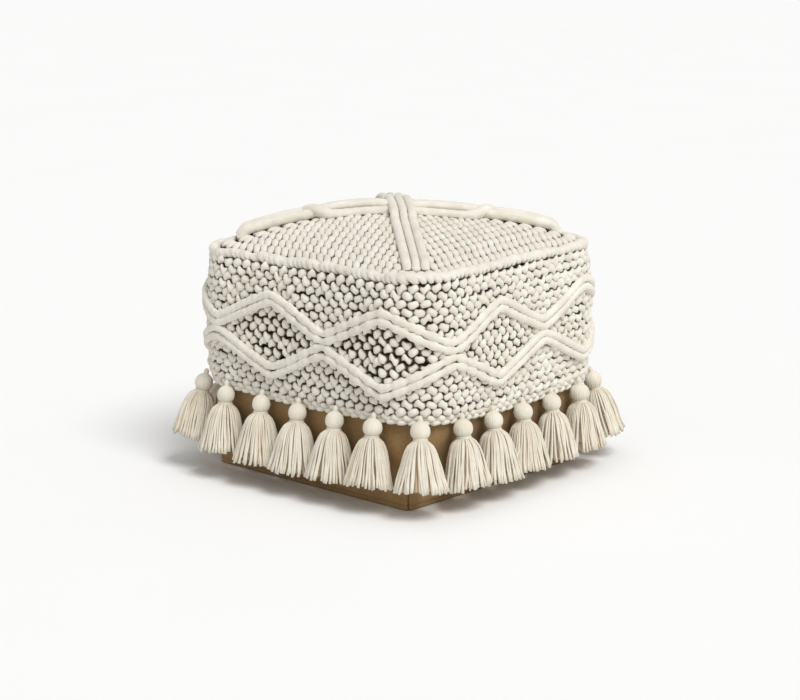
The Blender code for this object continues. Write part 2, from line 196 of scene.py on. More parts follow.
def zigzag(u):
    """Pointed wave with rounded tips, from -1 at the phase to 1 half a repeat on."""
    wave = -np.cos(TURN * ZIGZAG_REPEATS * (u - ZIGZAG_PHASE))
    return np.arcsin(POINTED * wave) / np.arcsin(POINTED)


# ---------------------------------------------------------------- surfaces

def unit(vectors):
    """Vectors of length one."""
    return vectors / np.maximum(np.linalg.norm(vectors, axis=-1, keepdims=True), 1e-12)


def ring_quads(index):
    """Four-sided faces between neighbouring rings, from a grid of point numbers."""
    here, ahead = index[:-1], index[1:]
    return np.stack([here, np.roll(here, -1, 1), np.roll(ahead, -1, 1), ahead], -1)


def quad_corners(u0, u1, v0, v1):
    """Corner coordinates of four-sided faces that span u0 to u1 and v0 to v1."""
    return np.stack([u0, v0, u0, v1, u1, v1, u1, v0], -1).reshape(-1, 4, 2)


def sweep(centre, out, side, radius_out, radius_side, sides, closed, rise=None):
    """Tubes along routes, as one block of points, faces, corner coordinates and relief.

    centre, out and side are (tubes, steps, 3), and a point is
    centre + cos(a) * radius_out * out + sin(a) * radius_side * side, for sides values of a.
    Open tubes end in a flat face. U is the length along the route and V the girth, in metres.
    The relief, which sets the painted shade in the hollows, is how far a point stands out:
    the rise of its route plus its own part of the radius, less the CREASE at its sides, from
    0 at RELIEF_LOW to 1 at RELIEF_HIGH. Without a rise it is 1.
    """
    tubes, steps = centre.shape[:2]
    radius_out = np.broadcast_to(radius_out, (tubes, steps))[..., None, None]
    radius_side = np.broadcast_to(radius_side, (tubes, steps))[..., None, None]
    angle = TURN * np.arange(sides) / sides
    points = (centre[:, :, None] + np.cos(angle)[:, None] * radius_out * out[:, :, None]
              + np.sin(angle)[:, None] * radius_side * side[:, :, None])
    relief = np.ones(points.shape[:3])
    if rise is not None:
        stand = np.broadcast_to(rise, (tubes, steps))[..., None]
        stand = stand + (np.cos(angle)[:, None] * radius_out)[..., 0]
        stand = stand - CREASE * np.abs(np.sin(angle)) ** 3
        relief = np.clip((stand - RELIEF_LOW) / (RELIEF_HIGH - RELIEF_LOW), 0.0, 1.0)
    index = np.arange(tubes * steps * sides).reshape(tubes, steps, sides)
    ahead = np.roll(index, -1, 1) if closed else index[:, 1:]
    here = index if closed else index[:, :-1]
    quads = np.stack([here, np.roll(here, -1, 2), np.roll(ahead, -1, 2), ahead], -1)
    route = np.concatenate([centre, centre[:, :1]], 1)
    gaps = np.linalg.norm(np.diff(route, axis=1), axis=-1)
    length = np.concatenate([np.zeros((tubes, 1)), np.cumsum(gaps, 1)], 1)
    u0 = length[:, :-1] if closed else length[:, :-2]
    u1 = length[:, 1:] if closed else length[:, 1:-1]
    girth = TURN * float(np.mean(radius_side)) * np.arange(sides + 1) / sides
    shape = quads.shape[:3]
    spans = (u0[..., None], u1[..., None], girth[:-1], girth[1:])
    faces = [quads.reshape(-1, 4)]
    corners = [quad_corners(*(np.broadcast_to(part, shape) for part in spans))]
    if not closed:
        for ring, end in ((index[:, 0, ::-1], 0), (index[:, -1], -2)):
            faces.append(ring)
            flat = np.zeros((tubes, sides, 2))
            flat[..., 0] = length[:, end][:, None]
            flat[..., 1] = girth[:-1]
            corners.append(flat)
    return points.reshape(-1, 3), faces, corners, relief.ravel()


def turned(origin, across, along, axis, depth, radius, flat, sides, ribs=0, rib=0.0):
    """A closed turned form down an axis, with round ribs and flat ends, as one block.

    A point is origin + depth * axis + radius * (cos(a) * across + flat * sin(a) * along).
    Between two ribs the radius drops by the share rib, as the square of one minus
    |sin(ribs * a / 2)|, and the relief falls there too.
    """
    angle = TURN * np.arange(sides) / sides
    groove = 1.0 - np.abs(np.sin(0.5 * ribs * angle))
    ring = radius[:, None] * (1.0 - rib * groove ** 2)
    points = (origin + depth[:, None, None] * axis
              + (ring * np.cos(angle))[..., None] * across
              + (ring * np.sin(angle) * flat[:, None])[..., None] * along)
    steps = len(depth)
    index = np.arange(steps * sides).reshape(steps, sides)
    quads = ring_quads(index)
    girth = np.arange(sides + 1) * TURN * radius.max() / sides
    spans = (depth[:-1, None], depth[1:, None], girth[:-1], girth[1:])
    faces = [quads.reshape(-1, 4)]
    corners = [quad_corners(*(np.broadcast_to(part, quads.shape[:2]) for part in spans))]
    for ring_index, end in ((index[0, ::-1], 0), (index[-1], -1)):
        faces.append(ring_index[None])
        flat_uv = np.zeros((1, sides, 2))
        flat_uv[..., 0] = depth[end]
        flat_uv[..., 1] = girth[:-1]
        corners.append(flat_uv)
    relief = np.broadcast_to(1.0 - 0.45 * (ribs > 0) * groove ** 2, (steps, sides))
    return points.reshape(-1, 3), faces, corners, relief.ravel()


def volume(points, faces):
    """Volume inside closed faces, negative if they point in, by fans of tetrahedra."""
    total = 0.0
    for group in faces:
        a = points[group[:, 0]]
        for k in range(1, group.shape[1] - 1):
            b, c = points[group[:, k]], points[group[:, k + 1]]
            total += float(np.einsum("ij,ij->", a, np.cross(b, c))) / 6.0
    return total


def make_piece(name, blocks, material, body, nodes):
    """Puts blocks of points, faces, corner coordinates and relief into one mesh object.

    It rides on the body, stands for the frame's nodes and takes the given material. A block
    whose faces point in is turned round.
    """
    points, loops, starts, uvs, reliefs = [], [], [], [], []
    first, loop_count = 0, 0
    for block_points, block_faces, block_uvs, block_relief in blocks:
        inside_out = volume(block_points, block_faces) < 0.0
        points.append(block_points)
        reliefs.append(block_relief)
        for group, uv in zip(block_faces, block_uvs):
            if inside_out:
                group, uv = group[:, ::-1], uv[:, ::-1]
            loops.append((group + first).ravel())
            starts.append(loop_count + group.shape[1] * np.arange(len(group)))
            uvs.append(uv.reshape(-1, 2))
            loop_count += group.size
        first += len(block_points)
    points, loops = np.concatenate(points), np.concatenate(loops)
    starts = np.concatenate(starts)
    mesh = bpy.data.meshes.new(name)
    mesh.vertices.add(len(points))
    mesh.loops.add(len(loops))
    mesh.polygons.add(len(starts))
    mesh.vertices.foreach_set("co", points.astype(np.float32).ravel())
    mesh.loops.foreach_set("vertex_index", loops.astype(np.int32))
    mesh.polygons.foreach_set("loop_start", starts.astype(np.int32))
    layer = mesh.uv_layers.new(name="yarn")
    layer.uv.foreach_set("vector", np.concatenate(uvs).astype(np.float32).ravel())
    stand = mesh.attributes.new("relief", "FLOAT", "POINT")
    stand.data.foreach_set("value", np.concatenate(reliefs).astype(np.float32))
    mesh.update(calc_edges=True)
    mesh.shade_smooth()
    mesh.materials.append(material)
    piece = bpy.data.objects.new(name, mesh)
    bpy.context.scene.collection.objects.link(piece)
    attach(piece, body)
    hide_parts(*nodes)
    return piece


# ---------------------------------------------------------------- materials

def new_material(name, colour, roughness, **finish):
    """A material with its Principled shader, and a helper that adds and links nodes.

    In a keyword, an underscore stands for the space in a socket's name.
    """
    material = bpy.data.materials.new(name)
    material.use_nodes = True
    material.diffuse_color = (*colour, 1.0)
    tree = material.node_tree
    shader = tree.nodes["Principled BSDF"]
    shader.inputs["Base Color"].default_value = (*colour, 1.0)
    shader.inputs["Roughness"].default_value = roughness
    for key, value in finish.items():
        shader.inputs[key.replace("_", " ")].default_value = value

    def add(kind, links=(), **values):
        node = tree.nodes.new(kind)
        for key, value in values.items():
            socket = key.replace("_", " ")
            if socket in node.inputs:
                node.inputs[socket].default_value = value
            else:
                setattr(node, key, value)
        for output, key in links:
            tree.links.new(output, node.inputs[key])
        return node

    return material, shader, add, tree.links.new


def mixed(add, factor, dark, light):
    """A colour mix node between two colours."""
    node = add("ShaderNodeMix", data_type="RGBA")
    node.inputs[6].default_value = (*dark, 1.0)
    node.inputs[7].default_value = (*light, 1.0)
    node.id_data.links.new(factor, node.inputs[0])
    return node


def noise(add, place, scale, detail=2.0, roughness=0.5):
    """Noise over a piece's own Object coordinates."""
    return add("ShaderNodeTexNoise", [(place.outputs["Object"], "Vector")], Scale=scale,
               Detail=detail, Roughness=roughness)


def stretched_sum(add, first, second, low, high):
    """Two patterns added, then stretched so that low becomes 0 and high becomes 1."""
    both = add("ShaderNodeMath", [(first.outputs["Fac"], 0), (second.outputs["Fac"], 1)],
               operation="ADD")
    return add("ShaderNodeMapRange", [(both.outputs[0], "Value")], From_Min=low,
               From_Max=high).outputs[0]


def yarn_material(name, colour, painted_shade_colour, fibre_length, fibre_width, lay, depth):
    """Soft cotton yarn: long fibres that lie along it at a slight angle, fuzz and blotches.

    The fibres are noise stretched along U and turned by the lay. They set the bump, and
    with a wide blotchy noise they lighten and darken the colour a little. The relief fades
    the colour to painted shade, a brown shadow painted into the hollows between stitches.
    """
    material, shader, add, link = new_material(name, colour, 0.92, Sheen_Weight=0.25,
                                               Sheen_Roughness=0.6, Specular_IOR_Level=0.25)
    place = add("ShaderNodeTexCoord")
    fibre_map = add("ShaderNodeMapping", [(place.outputs["UV"], "Vector")],
                    Rotation=(0.0, 0.0, lay), Scale=(1 / fibre_length, 1 / fibre_width, 1.0))
    fibres = add("ShaderNodeTexNoise", [(fibre_map.outputs[0], "Vector")],
                 Scale=1.0, Detail=4.0, Roughness=0.6)
    blotches = noise(add, place, 38.0, 3.0, 0.55)
    fuzz = noise(add, place, 1400.0, 2.0, 0.7)
    spread = stretched_sum(add, fibres, blotches, 0.7, 1.25)
    dark = tuple(c * f for c, f in zip(colour, (0.86, 0.835, 0.79)))
    light = tuple(min(c * 1.06, 0.95) for c in colour)
    shade = mixed(add, spread, dark, light)
    # Painted shade: where the relief is low, the colour fades to the shade colour.
    relief = add("ShaderNodeAttribute", attribute_name="relief")
    depth_curve = add("ShaderNodeMapRange", [(relief.outputs["Fac"], "Value")],
                      interpolation_type="SMOOTHSTEP", From_Max=0.55)
    painted_shade_mix = mixed(add, depth_curve.outputs[0], painted_shade_colour, light)
    link(shade.outputs[2], painted_shade_mix.inputs[7])
    link(painted_shade_mix.outputs[2], shader.inputs["Base Color"])
    soft = add("ShaderNodeBump", [(fuzz.outputs["Fac"], "Height")],
               Strength=0.35, Distance=0.0003)
    bump = add("ShaderNodeBump", [(fibres.outputs["Fac"], "Height"),
                                  (soft.outputs[0], "Normal")], Strength=0.6, Distance=depth)
    link(bump.outputs[0], shader.inputs["Normal"])
    return material


def canvas_material(name, colour, pitch):
    """Plain-woven canvas: crossed waves of threads, flecks, soft wear and painted shade in its
    grooves.

    The weave multiplies the higher of the waves along X and Y by the wave along Z, so it
    needs no map. The flecks are fine noise, and a broad noise makes the cloth paler where it
    is rubbed. The relief paints shade into the colour where the wall is pulled in: at the
    corner seams, the stitching, the zip and round the underside's edge.
    """
    material, shader, add, link = new_material(name, colour, 0.88, Sheen_Weight=0.15,
                                               Specular_IOR_Level=0.3)
    place = add("ShaderNodeTexCoord")
    waves = [add("ShaderNodeTexWave", [(place.outputs["Object"], "Vector")],
                 bands_direction=direction, Scale=TURN / 20.0 / pitch, Distortion=1.2,
                 Detail=1.0, Detail_Scale=0.6) for direction in ("X", "Y", "Z")]
    pair = add("ShaderNodeMath", [(waves[0].outputs["Fac"], 0), (waves[1].outputs["Fac"], 1)],
               operation="MAXIMUM")
    weave = add("ShaderNodeMath", [(pair.outputs[0], 0), (waves[2].outputs["Fac"], 1)],
                operation="MULTIPLY")
    flecks = noise(add, place, 420.0, 3.0, 0.7)
    rub = noise(add, place, 14.0, 4.0, 0.6)
    spread = stretched_sum(add, flecks, rub, 0.75, 1.25)
    dark = tuple(c * 0.78 for c in colour)
    light = tuple(c * 1.22 for c in colour)
    shade = mixed(add, spread, dark, light)
    # Painted shade: where the relief is low, in the grooves, the colour fades to 0.35 of itself.
    relief = add("ShaderNodeAttribute", attribute_name="relief")
    seam = mixed(add, relief.outputs["Fac"], tuple(c * 0.35 for c in colour), light)
    link(shade.outputs[2], seam.inputs[7])
    link(seam.outputs[2], shader.inputs["Base Color"])
    bump = add("ShaderNodeBump", [(weave.outputs[0], "Height")], Strength=0.5,
               Distance=0.0004)
    link(bump.outputs[0], shader.inputs["Normal"])
    return material


def metal_material(name, colour):
    """Dull cast metal: a metallic shader whose roughness and bump follow fine noise."""
    material, shader, add, link = new_material(name, colour, 0.35, Metallic=1.0)
    grain = noise(add, add("ShaderNodeTexCoord"), 900.0, 3.0)
    rough = add("ShaderNodeMapRange", [(grain.outputs["Fac"], "Value")], To_Min=0.28,
                To_Max=0.5)
    link(rough.outputs[0], shader.inputs["Roughness"])
    bump = add("ShaderNodeBump", [(grain.outputs["Fac"], "Height")], Strength=0.2,
               Distance=0.0002)
    link(bump.outputs[0], shader.inputs["Normal"])
    return material


def soft_material(name, colour, cell, depth):
    """Foam or fibre: cells of a given size that set both the bump and a slight shading."""
    material, shader, add, link = new_material(name, colour, 0.95)
    place = add("ShaderNodeTexCoord")
    cells = add("ShaderNodeTexVoronoi", [(place.outputs["Object"], "Vector")], Scale=1 / cell)
    shade = mixed(add, cells.outputs["Distance"], tuple(0.8 * c for c in colour), colour)
    link(shade.outputs[2], shader.inputs["Base Color"])
    bump = add("ShaderNodeBump", [(cells.outputs["Distance"], "Height")], Strength=0.6,
               Distance=depth)
    link(bump.outputs[0], shader.inputs["Normal"])
    return material


SHADOW_BROWN = (0.085, 0.047, 0.017)    # painted shade, deep between the stitches
SHADOW_TAN = (0.62, 0.48, 0.31)         # painted shade between the strands of a tassel
FOAM_CREAM = (0.80, 0.70, 0.42)
FIBRE_WHITE = (0.85, 0.85, 0.83)
TAPE_BROWN = (0.11, 0.065, 0.032)
BRASS = (0.45, 0.36, 0.22)


def shared_material(name, make, *values):
    """The named material, made the first time that it is asked for.

    The frame brings a plain material for each slot, so no name here is a slot's.
    """
    return bpy.data.materials.get(name) or make(name, *values)


def knit_yarn():
    """The cover's thick cream yarn."""
    colour = tuple(bpy.context.scene.cushion_knit.colour)
    return shared_material("cream_yarn", yarn_material, colour, SHADOW_BROWN, 0.020, 0.0011,
                           0.10, 0.0009)


def cord_yarn():
    """The same yarn as a smooth cord."""
    colour = tuple(bpy.context.scene.cushion_knit.colour)
    return shared_material("cream_cord", yarn_material, colour, SHADOW_BROWN, 0.030, 0.0012,
                           0.05, 0.0006)


# ---------------------------------------------------------------- settings

def length_setting(name, text, value, low=0.0001, high=1.0):
    """A length property."""
    return bpy.props.FloatProperty(name=name, description=text, default=value, min=low,
                                   max=high, precision=4, unit="LENGTH")


def count_setting(name, text, value, low=1, high=400):
    """A whole-number property."""
    return bpy.props.IntProperty(name=name, description=text, default=value, min=low, max=high)


def colour_setting(name, text, value):
    """A colour property."""
    return bpy.props.FloatVectorProperty(name=name, description=text, default=value, size=3,
                                         min=0.0, max=1.0, subtype="COLOR")


def ratio_setting(name, text, value, low=0.0, high=2.0):
    """A plain number property."""
    return bpy.props.FloatProperty(name=name, description=text, default=value, min=low,
                                   max=high)


class KnitSettings(bpy.types.PropertyGroup):
    """Yarn and stitches of the cover."""
    colour: colour_setting("Yarn Colour", "Colour of the cotton yarn", (0.80, 0.77, 0.685))
    rows: count_setting("Side Rows", "Rows of stitches up the sides", 17, 4, 40)
    stitches: count_setting("Stitches Round", "Stitches in a row, an even number", 92, 8, 300)
    yarn: length_setting("Yarn Radius", "Half the thickness of a stitch", 0.0061)
    dive: length_setting("Stitch Depth", "How far the yarn dives between two stitches", 0.0040)
    neck: ratio_setting("Neck", "Thickness of the yarn where it dives, against a stitch", 0.74)
    top_pitch: length_setting("Top Row Pitch", "Distance between the rows of the top", 0.0162)
    top_stitch: length_setting("Top Stitch", "Distance between the slanted stitches of a row", 0.0134)
    top_lean: bpy.props.FloatProperty(name="Top Lean", description="Slant of a top stitch",
                                      default=np.radians(38.0), subtype="ANGLE")


class CordSettings(bpy.types.PropertyGroup):
    """Raised cords of the cover."""
    radius: length_setting("Cord Radius", "Half the thickness of a raised cord", 0.0057)
    swing: length_setting("Zigzag Swing", "Height of the zigzag above its middle", 0.0212)
    offset: length_setting("Pair Offset", "Half the distance between the cords of a pair", 0.0061)
    lift: length_setting("Cord Lift", "How far a cord's middle stands out of the band", 0.0022)
    cable_spacing: length_setting("Cable Spacing", "Distance between a cable's cords", 0.0128)


class TasselSettings(bpy.types.PropertyGroup):
    """Tassels round the hem."""
    colour: colour_setting("Tassel Colour", "Colour of the tassel yarn", (0.79, 0.74, 0.635))
    strands: count_setting("Outer Strands", "Strands in the skirt's outer layer", 72, 8, 120)
    inner: count_setting("Inner Strands", "Strands under the outer layer", 58, 0, 120)
    strand: length_setting("Strand Radius", "Half the thickness of a strand", 0.0019)
    flare: length_setting("Skirt Radius", "Half the width of the skirt at its cut end", 0.0385)


class CanvasSettings(bpy.types.PropertyGroup):
    """Canvas box cushion."""
    colour: colour_setting("Canvas Colour", "Colour of the canvas", (0.340, 0.208, 0.087))
    weave: length_setting("Weave Pitch", "Distance between threads", 0.0009)


class StageSettings(bpy.types.PropertyGroup):
    """Floor, light and camera."""
    azimuth: bpy.props.FloatProperty(name="Azimuth", description="Camera's way round",
                                     default=np.radians(39.5), subtype="ANGLE")
    elevation: bpy.props.FloatProperty(name="Elevation", description="Camera's height angle",
                                       default=np.radians(13.0), subtype="ANGLE")
    distance: length_setting("Distance", "Camera to the cushion's middle", 3.486, 0.5, 20.0)
    aim: length_setting("Aim Height", "Height that the camera looks at", 0.1688)
    lens: bpy.props.FloatProperty(name="Lens", description="Focal length in millimetres",
                                  default=105.5, min=10.0, max=300.0)
    sky: ratio_setting("Sky", "Strength of the even white light", 0.52)
    key: ratio_setting("Key Light", "Strength of the soft main light", 2.1, 0.0, 20.0)
    softness: bpy.props.FloatProperty(name="Softness", description="Angle that the main "
                                      "light fills", default=np.radians(30.0),
                                      subtype="ANGLE")


# ---------------------------------------------------------------- knitted band

def in_diamond(u, z):
    """1 inside the diamonds between the two zigzags, easing to 0 at their cords."""
    cords = bpy.context.scene.cushion_cords
    wave = cords.swing * zigzag(u)
    reach = 2.0 * cords.offset
    return (ease((UPPER_Z + wave - reach - z) / 0.006)
            * ease((z - (LOWER_Z - wave + reach)) / 0.006))


BELLY = 0.0050                # how far the wall bulges halfway up
SET_BACK = 0.0010
TUCK = 0.0022                 # how far the top of the wall rolls in under the edge
TUCK_HEIGHT = 0.030
LOOSEST = 0.06                # where the knitting is loosest, as a fraction of the way round
ROW_OVER = 0.0030             # the top row reaches this far over the band
FULL_PITCH = 0.0105           # distance between rows at which a stitch has its own width
STITCH_STEPS = 12             # points along one stitch


def band_profile(z):
    """How far the wall stands out at a height: it bellies and rolls in under the top edge."""
    return (BELLY * np.sin(np.pi * (z - BAND_LOW[2]) / (BAND_TOP - BAND_LOW[2])) - SET_BACK
            - TUCK * ease((z - BAND_TOP + TUCK_HEIGHT) / TUCK_HEIGHT))


def looseness(u, tightest):
    """Looseness round the cover: 1 by the front corner, and the tightest on the far sides."""
    return tightest + (1.0 - tightest) * raised(TURN * (u - LOOSEST)) ** 1.6


def stitch_rows(rows, seed):
    """Rows of moss stitch round the band as one block.

    Each row is a rope whose middle swings in and out once a stitch, with every other row
    half a stitch on and slanted the other way. Its thickness swells in the middle of a
    stitch and shrinks where it dives, by powers of a raised cosine, and each stitch has its
    own slight size and place.
    """
    knit = bpy.context.scene.cushion_knit
    chance = np.random.default_rng(seed)
    rows = np.array(rows, float)[:, None]
    s = np.arange(knit.stitches * STITCH_STEPS)[None] / STITCH_STEPS
    u = s / knit.stitches
    theta = TURN * (s + 0.5 * np.mod(rows, 2))
    crest = raised(theta)
    bead = np.mod(np.round(s + 0.5 * np.mod(rows, 2)).astype(int), knit.stitches)
    line = np.arange(len(rows))[:, None]
    shape = (len(rows), knit.stitches)
    size, rise, reach, slant = (chance.normal(0.0, 1.0, shape)[line, bead] for _ in range(4))
    low = hem_height(u) + HEM_RADIUS
    pitch = (BAND_TOP + ROW_OVER - low) / knit.rows
    z = low + pitch * (rows + 0.5)
    open_work = in_diamond(u, z)
    # The upper rows are the bobbliest, the more so the looser they are.
    loose = looseness(u, 0.12)
    bobbly = loose * ease((rows - knit.rows + 4.0) / 3.0)
    z = z + 0.0011 * rise * crest * (1 + 0.8 * open_work)
    z = z + 0.0009 * np.sin(TURN * (5 * u + 0.37 * rows)) * np.sin(TURN * (13 * u - 0.21 * rows))
    way = np.where(np.mod(rows, 2) > 0, -1.0, 1.0)
    z = z + (0.0015 * way + 0.0012 * slant * crest) * np.sin(theta)
    neck = knit.neck + 0.03 - 0.17 * open_work * (0.4 + 0.6 * loose) - 0.07 * loose
    swell = neck + (1.0 - neck) * crest ** 0.40
    swell = swell * (1.0 + 0.09 * size * crest + 0.07 * bobbly * crest)
    dive = knit.dive * (0.60 + 0.45 * loose + 0.40 * open_work * (0.2 + 0.8 * loose))
    sunk = -0.0027 - dive * (1.0 - crest ** 0.45) + (0.0007 * reach + 0.0012 * bobbly) * crest
    base, normal = outline(u, WALL_HALF, WALL_CORNER)
    centre = base + normal * (sunk + band_profile(z))[..., None] + z[..., None] * UP
    out = np.broadcast_to(normal, centre.shape)
    side = np.broadcast_to(UP, centre.shape)
    wide = knit.yarn * swell * pitch / FULL_PITCH
    return sweep(centre, out, side, 0.74 * knit.yarn * swell, wide, 8, True,
                 sunk - 0.0016 * loose - 0.0006)


class CUSHION_OT_band(bpy.types.Operator):
    """Knit the sides of the cover in rows of staggered stitches"""
    bl_idname = "cushion.band"
    bl_label = "Knitted Band"

    def execute(self, context):
        rows = context.scene.cushion_knit.rows
        half = rows // 2
        for name, part, seed in (("knit_rows_lower", range(half), 11),
                                 ("knit_rows_upper", range(half, rows), 12)):
            make_piece(name, [stitch_rows(part, seed)], knit_yarn(), "cover",
                       ["knit_side_band"])
        return {"FINISHED"}


# ---------------------------------------------------------------- rolled edge and hem

def wrapped_roll(wraps, samples, sides, radius, depth, lean):
    """The rolled edge: a soft tube round a rounded square, cast off in slanted stitches.

    Its radius drops by the depth between stitches, as a power of one minus |sin| of the
    winding angle, which makes half a turn in a stitch and leans with the girth. The grooves
    are deepest low on the outer side and nearly vanish above. Each stitch has its own slight
    size, and the tube wanders up and down and droops a little beside its side corners.
    """
    steps = wraps * samples
    u = np.arange(steps) / steps
    chance = np.random.default_rng(21)
    stitch = np.mod(np.floor(u * wraps).astype(int), wraps)
    soft = np.convolve(np.tile(chance.normal(0.0, 1.0, wraps)[stitch], 3),
                       np.ones(samples) / samples, "same")[steps:2 * steps]
    base, normal = outline(u, ROLL_HALF, ROLL_CORNER)
    loose = looseness(u, 0.30)
    wander = 0.0010 * np.sin(TURN * 9 * u) + 0.0008 * np.sin(TURN * 23 * u + 2.0)
    wander = wander - 0.0035 * np.clip(-np.sin(2 * TURN * u), 0.0, 1.0) ** 8
    centre = base + (ROLL_Z - 0.0006 + wander + 0.0010 * soft)[:, None] * UP
    angle = TURN * np.arange(sides) / sides
    uneven = 0.9 * np.sin(TURN * 11 * u) + 0.7 * np.sin(TURN * 29 * u + 1.0)
    winding = np.pi * wraps * u[:, None] + uneven[:, None] + lean * np.sin(angle)[None]
    groove = (1.0 - np.abs(np.sin(winding))) ** 1.6
    facing = 0.12 + 0.88 * np.clip(np.cos(angle + 0.9), 0.0, 1.0) ** 1.3
    ring = radius * (1.0 + 0.09 * soft[:, None]) - depth * groove * facing * loose[:, None]
    ring = ring * (1.0 - 0.10 * np.clip(np.cos(angle), 0.0, 1.0) * (1.0 - loose[:, None]))
    points = (centre[:, None] + (ring * np.cos(angle))[..., None] * normal[:, None]
              + (ring * np.sin(angle))[..., None] * UP)
    block = sweep(centre[None], normal[None], np.broadcast_to(UP, normal.shape)[None],
                  radius, radius, sides, True)
    # Painted shade: the relief falls in the stitch grooves, and further on the roll's underside.
    under = 0.6 * np.clip(-np.sin(angle) - 0.35, 0.0, 1.0)
    relief = np.clip(1.0 - 0.9 * groove * facing * loose[:, None] - under, 0.0, 1.0)
    return points.reshape(-1, 3), block[1], block[2], relief.ravel()


HEM_STITCHES = 100
ROPE_SKEW = 0.55              # 0 is an even wave, and near 1 is a slant with a sudden return
PINCH_DEPTH = 0.0022          # how far the rope sinks in where it returns


def hem_rope(out, rise, slant, radius_out, radius_side, phase):
    """A ring of slanted leaf stitches that binds the hem.

    The rope's middle follows a skewed wave, arctan of a sin over 1 - a cos, so that each
    stitch runs slantwise and returns at once, and it is thin and deep where it returns.
    """
    s = np.arange(HEM_STITCHES * STITCH_STEPS) / STITCH_STEPS
    u = s / HEM_STITCHES
    theta = TURN * (s + phase)
    wave = np.arctan2(ROPE_SKEW * np.sin(theta), 1.0 - ROPE_SKEW * np.cos(theta))
    wave = wave / np.arcsin(ROPE_SKEW)
    pinch = raised(theta) ** 3
    base, normal = outline(u, HEM_HALF + out, HEM_CORNER)
    lift = hem_height(u) + rise + slant * wave
    centre = base - normal * (PINCH_DEPTH * pinch)[:, None] + lift[:, None] * UP
    swell = 0.68 + 0.32 * (1.0 - pinch) ** 0.5
    up = np.broadcast_to(UP, normal.shape)
    return sweep(centre[None], normal[None], up[None], radius_out * swell[None],
                 radius_side * swell[None], 8, True, -radius_out - PINCH_DEPTH * pinch[None])


class CUSHION_OT_edges(bpy.types.Operator):
    """Wind the rolled top edge and bind the hem"""
    bl_idname = "cushion.edges"
    bl_label = "Rolled Edge and Hem"

    def execute(self, context):
        roll = wrapped_roll(wraps=146, samples=STITCH_STEPS, sides=18,
                            radius=0.84 * ROLL_RADIUS, depth=0.0040, lean=1.2)
        make_piece("rolled_top_edge", [roll], knit_yarn(), "cover", ["top_edge_roll"])
        upper = hem_rope(out=0.0020, rise=0.0034, slant=0.0009, radius_out=0.0046,
                         radius_side=0.0050, phase=0.0)
        lower = hem_rope(out=0.0014, rise=-0.0030, slant=-0.0005, radius_out=0.0042,
                         radius_side=0.0042, phase=0.5)
        make_piece("hem_braid", [upper, lower], knit_yarn(), "cover", ["hem_cord"])
        return {"FINISHED"}


# ---------------------------------------------------------------- knitted top

def top_ring(half, number):
    """One ring of leaf stitches on the dome, at a half width from the middle.

    Each stitch is a short tube with pointed ends that lies across the ring and leans away
    from the front corner, the more the nearer it is to the middle of its side. Its half
    width is a power of one minus t cubed, with t from -1 to 1 along it, and its ends dive.
    """
    knit = bpy.context.scene.cushion_knit
    corner = min(0.05, 0.3 * half)
    stitches = max(int(round(around(half, corner) / knit.top_stitch)), 4)
    chance = np.random.default_rng(40 + number)
    u = (np.arange(stitches) + 0.5 * (number % 2)) / stitches
    base, normal = outline(u, half, corner)
    tangent = np.cross(UP, normal)
    lean = -knit.top_lean * np.tanh(4.0 * np.cos(2 * TURN * u))
    lean = lean + chance.normal(0.0, 0.05, stitches)
    ahead = -normal * np.cos(lean)[:, None] + tangent * np.sin(lean)[:, None]
    reach = 0.60 * knit.top_pitch / np.cos(lean) * (1.0 + chance.normal(0.0, 0.05, stitches))
    t = np.linspace(-1.0, 1.0, 8)
    place = base[:, None] + ahead[:, None] * (reach[:, None] * t)[..., None]
    up = dome_normal(place[..., 0], place[..., 1])
    tall = 0.0003 * chance.normal(0.0, 1.0, stitches)[:, None]
    sunk = tall - 0.0040 - 0.0034 * np.abs(t) ** 3
    centre = place + dome(place[..., 0], place[..., 1])[..., None] * UP + up * sunk[..., None]
    along = unit(np.gradient(centre, axis=1))
    side = unit(np.cross(up, along))
    swell = np.maximum(1.0 - np.abs(t) ** 3, 0.0) ** 0.5 * 0.72 + 0.28
    wide = 0.54 * knit.top_stitch * np.cos(lean)[:, None] * swell
    return sweep(centre, np.cross(along, side), side, 0.0046 * swell, wide, 8, False,
                 sunk - 0.0010)


class CUSHION_OT_top(bpy.types.Operator):
    """Knit the crowned top in mitred rings of slanted leaf stitches"""
    bl_idname = "cushion.top"
    bl_label = "Knitted Top"

    def execute(self, context):
        pitch = context.scene.cushion_knit.top_pitch
        halves = np.arange(TOP_HIGH[0] + 0.003 - 0.5 * pitch, 0.4 * pitch, -pitch)
        blocks = [top_ring(half, number) for number, half in enumerate(halves)]
        make_piece("mitred_top_rows", blocks, knit_yarn(), "cover", ["knit_top"])
        return {"FINISHED"}


# ---------------------------------------------------------------- raised cords

LEAFIEST = 0.105              # where the cords are leafiest, as a fraction of the way round
LEAF = 0.026                  # length of a leaf stitch
TACK = 0.0115                 # distance between the stitches that hold a cord down
CORD_STEPS = 720


def knobbly(route, spacing, depth):
    """Thickness along a route: one, with shallow waists a spacing apart."""
    gaps = np.linalg.norm(np.diff(route, axis=0, append=route[:1]), axis=-1)
    travelled = np.concatenate([[0.0], np.cumsum(gaps)[:-1]])
    waists = max(int(round(gaps.sum() / spacing)), 1)
    return 1.0 - depth * raised(TURN * waists * travelled / gaps.sum()) ** 2


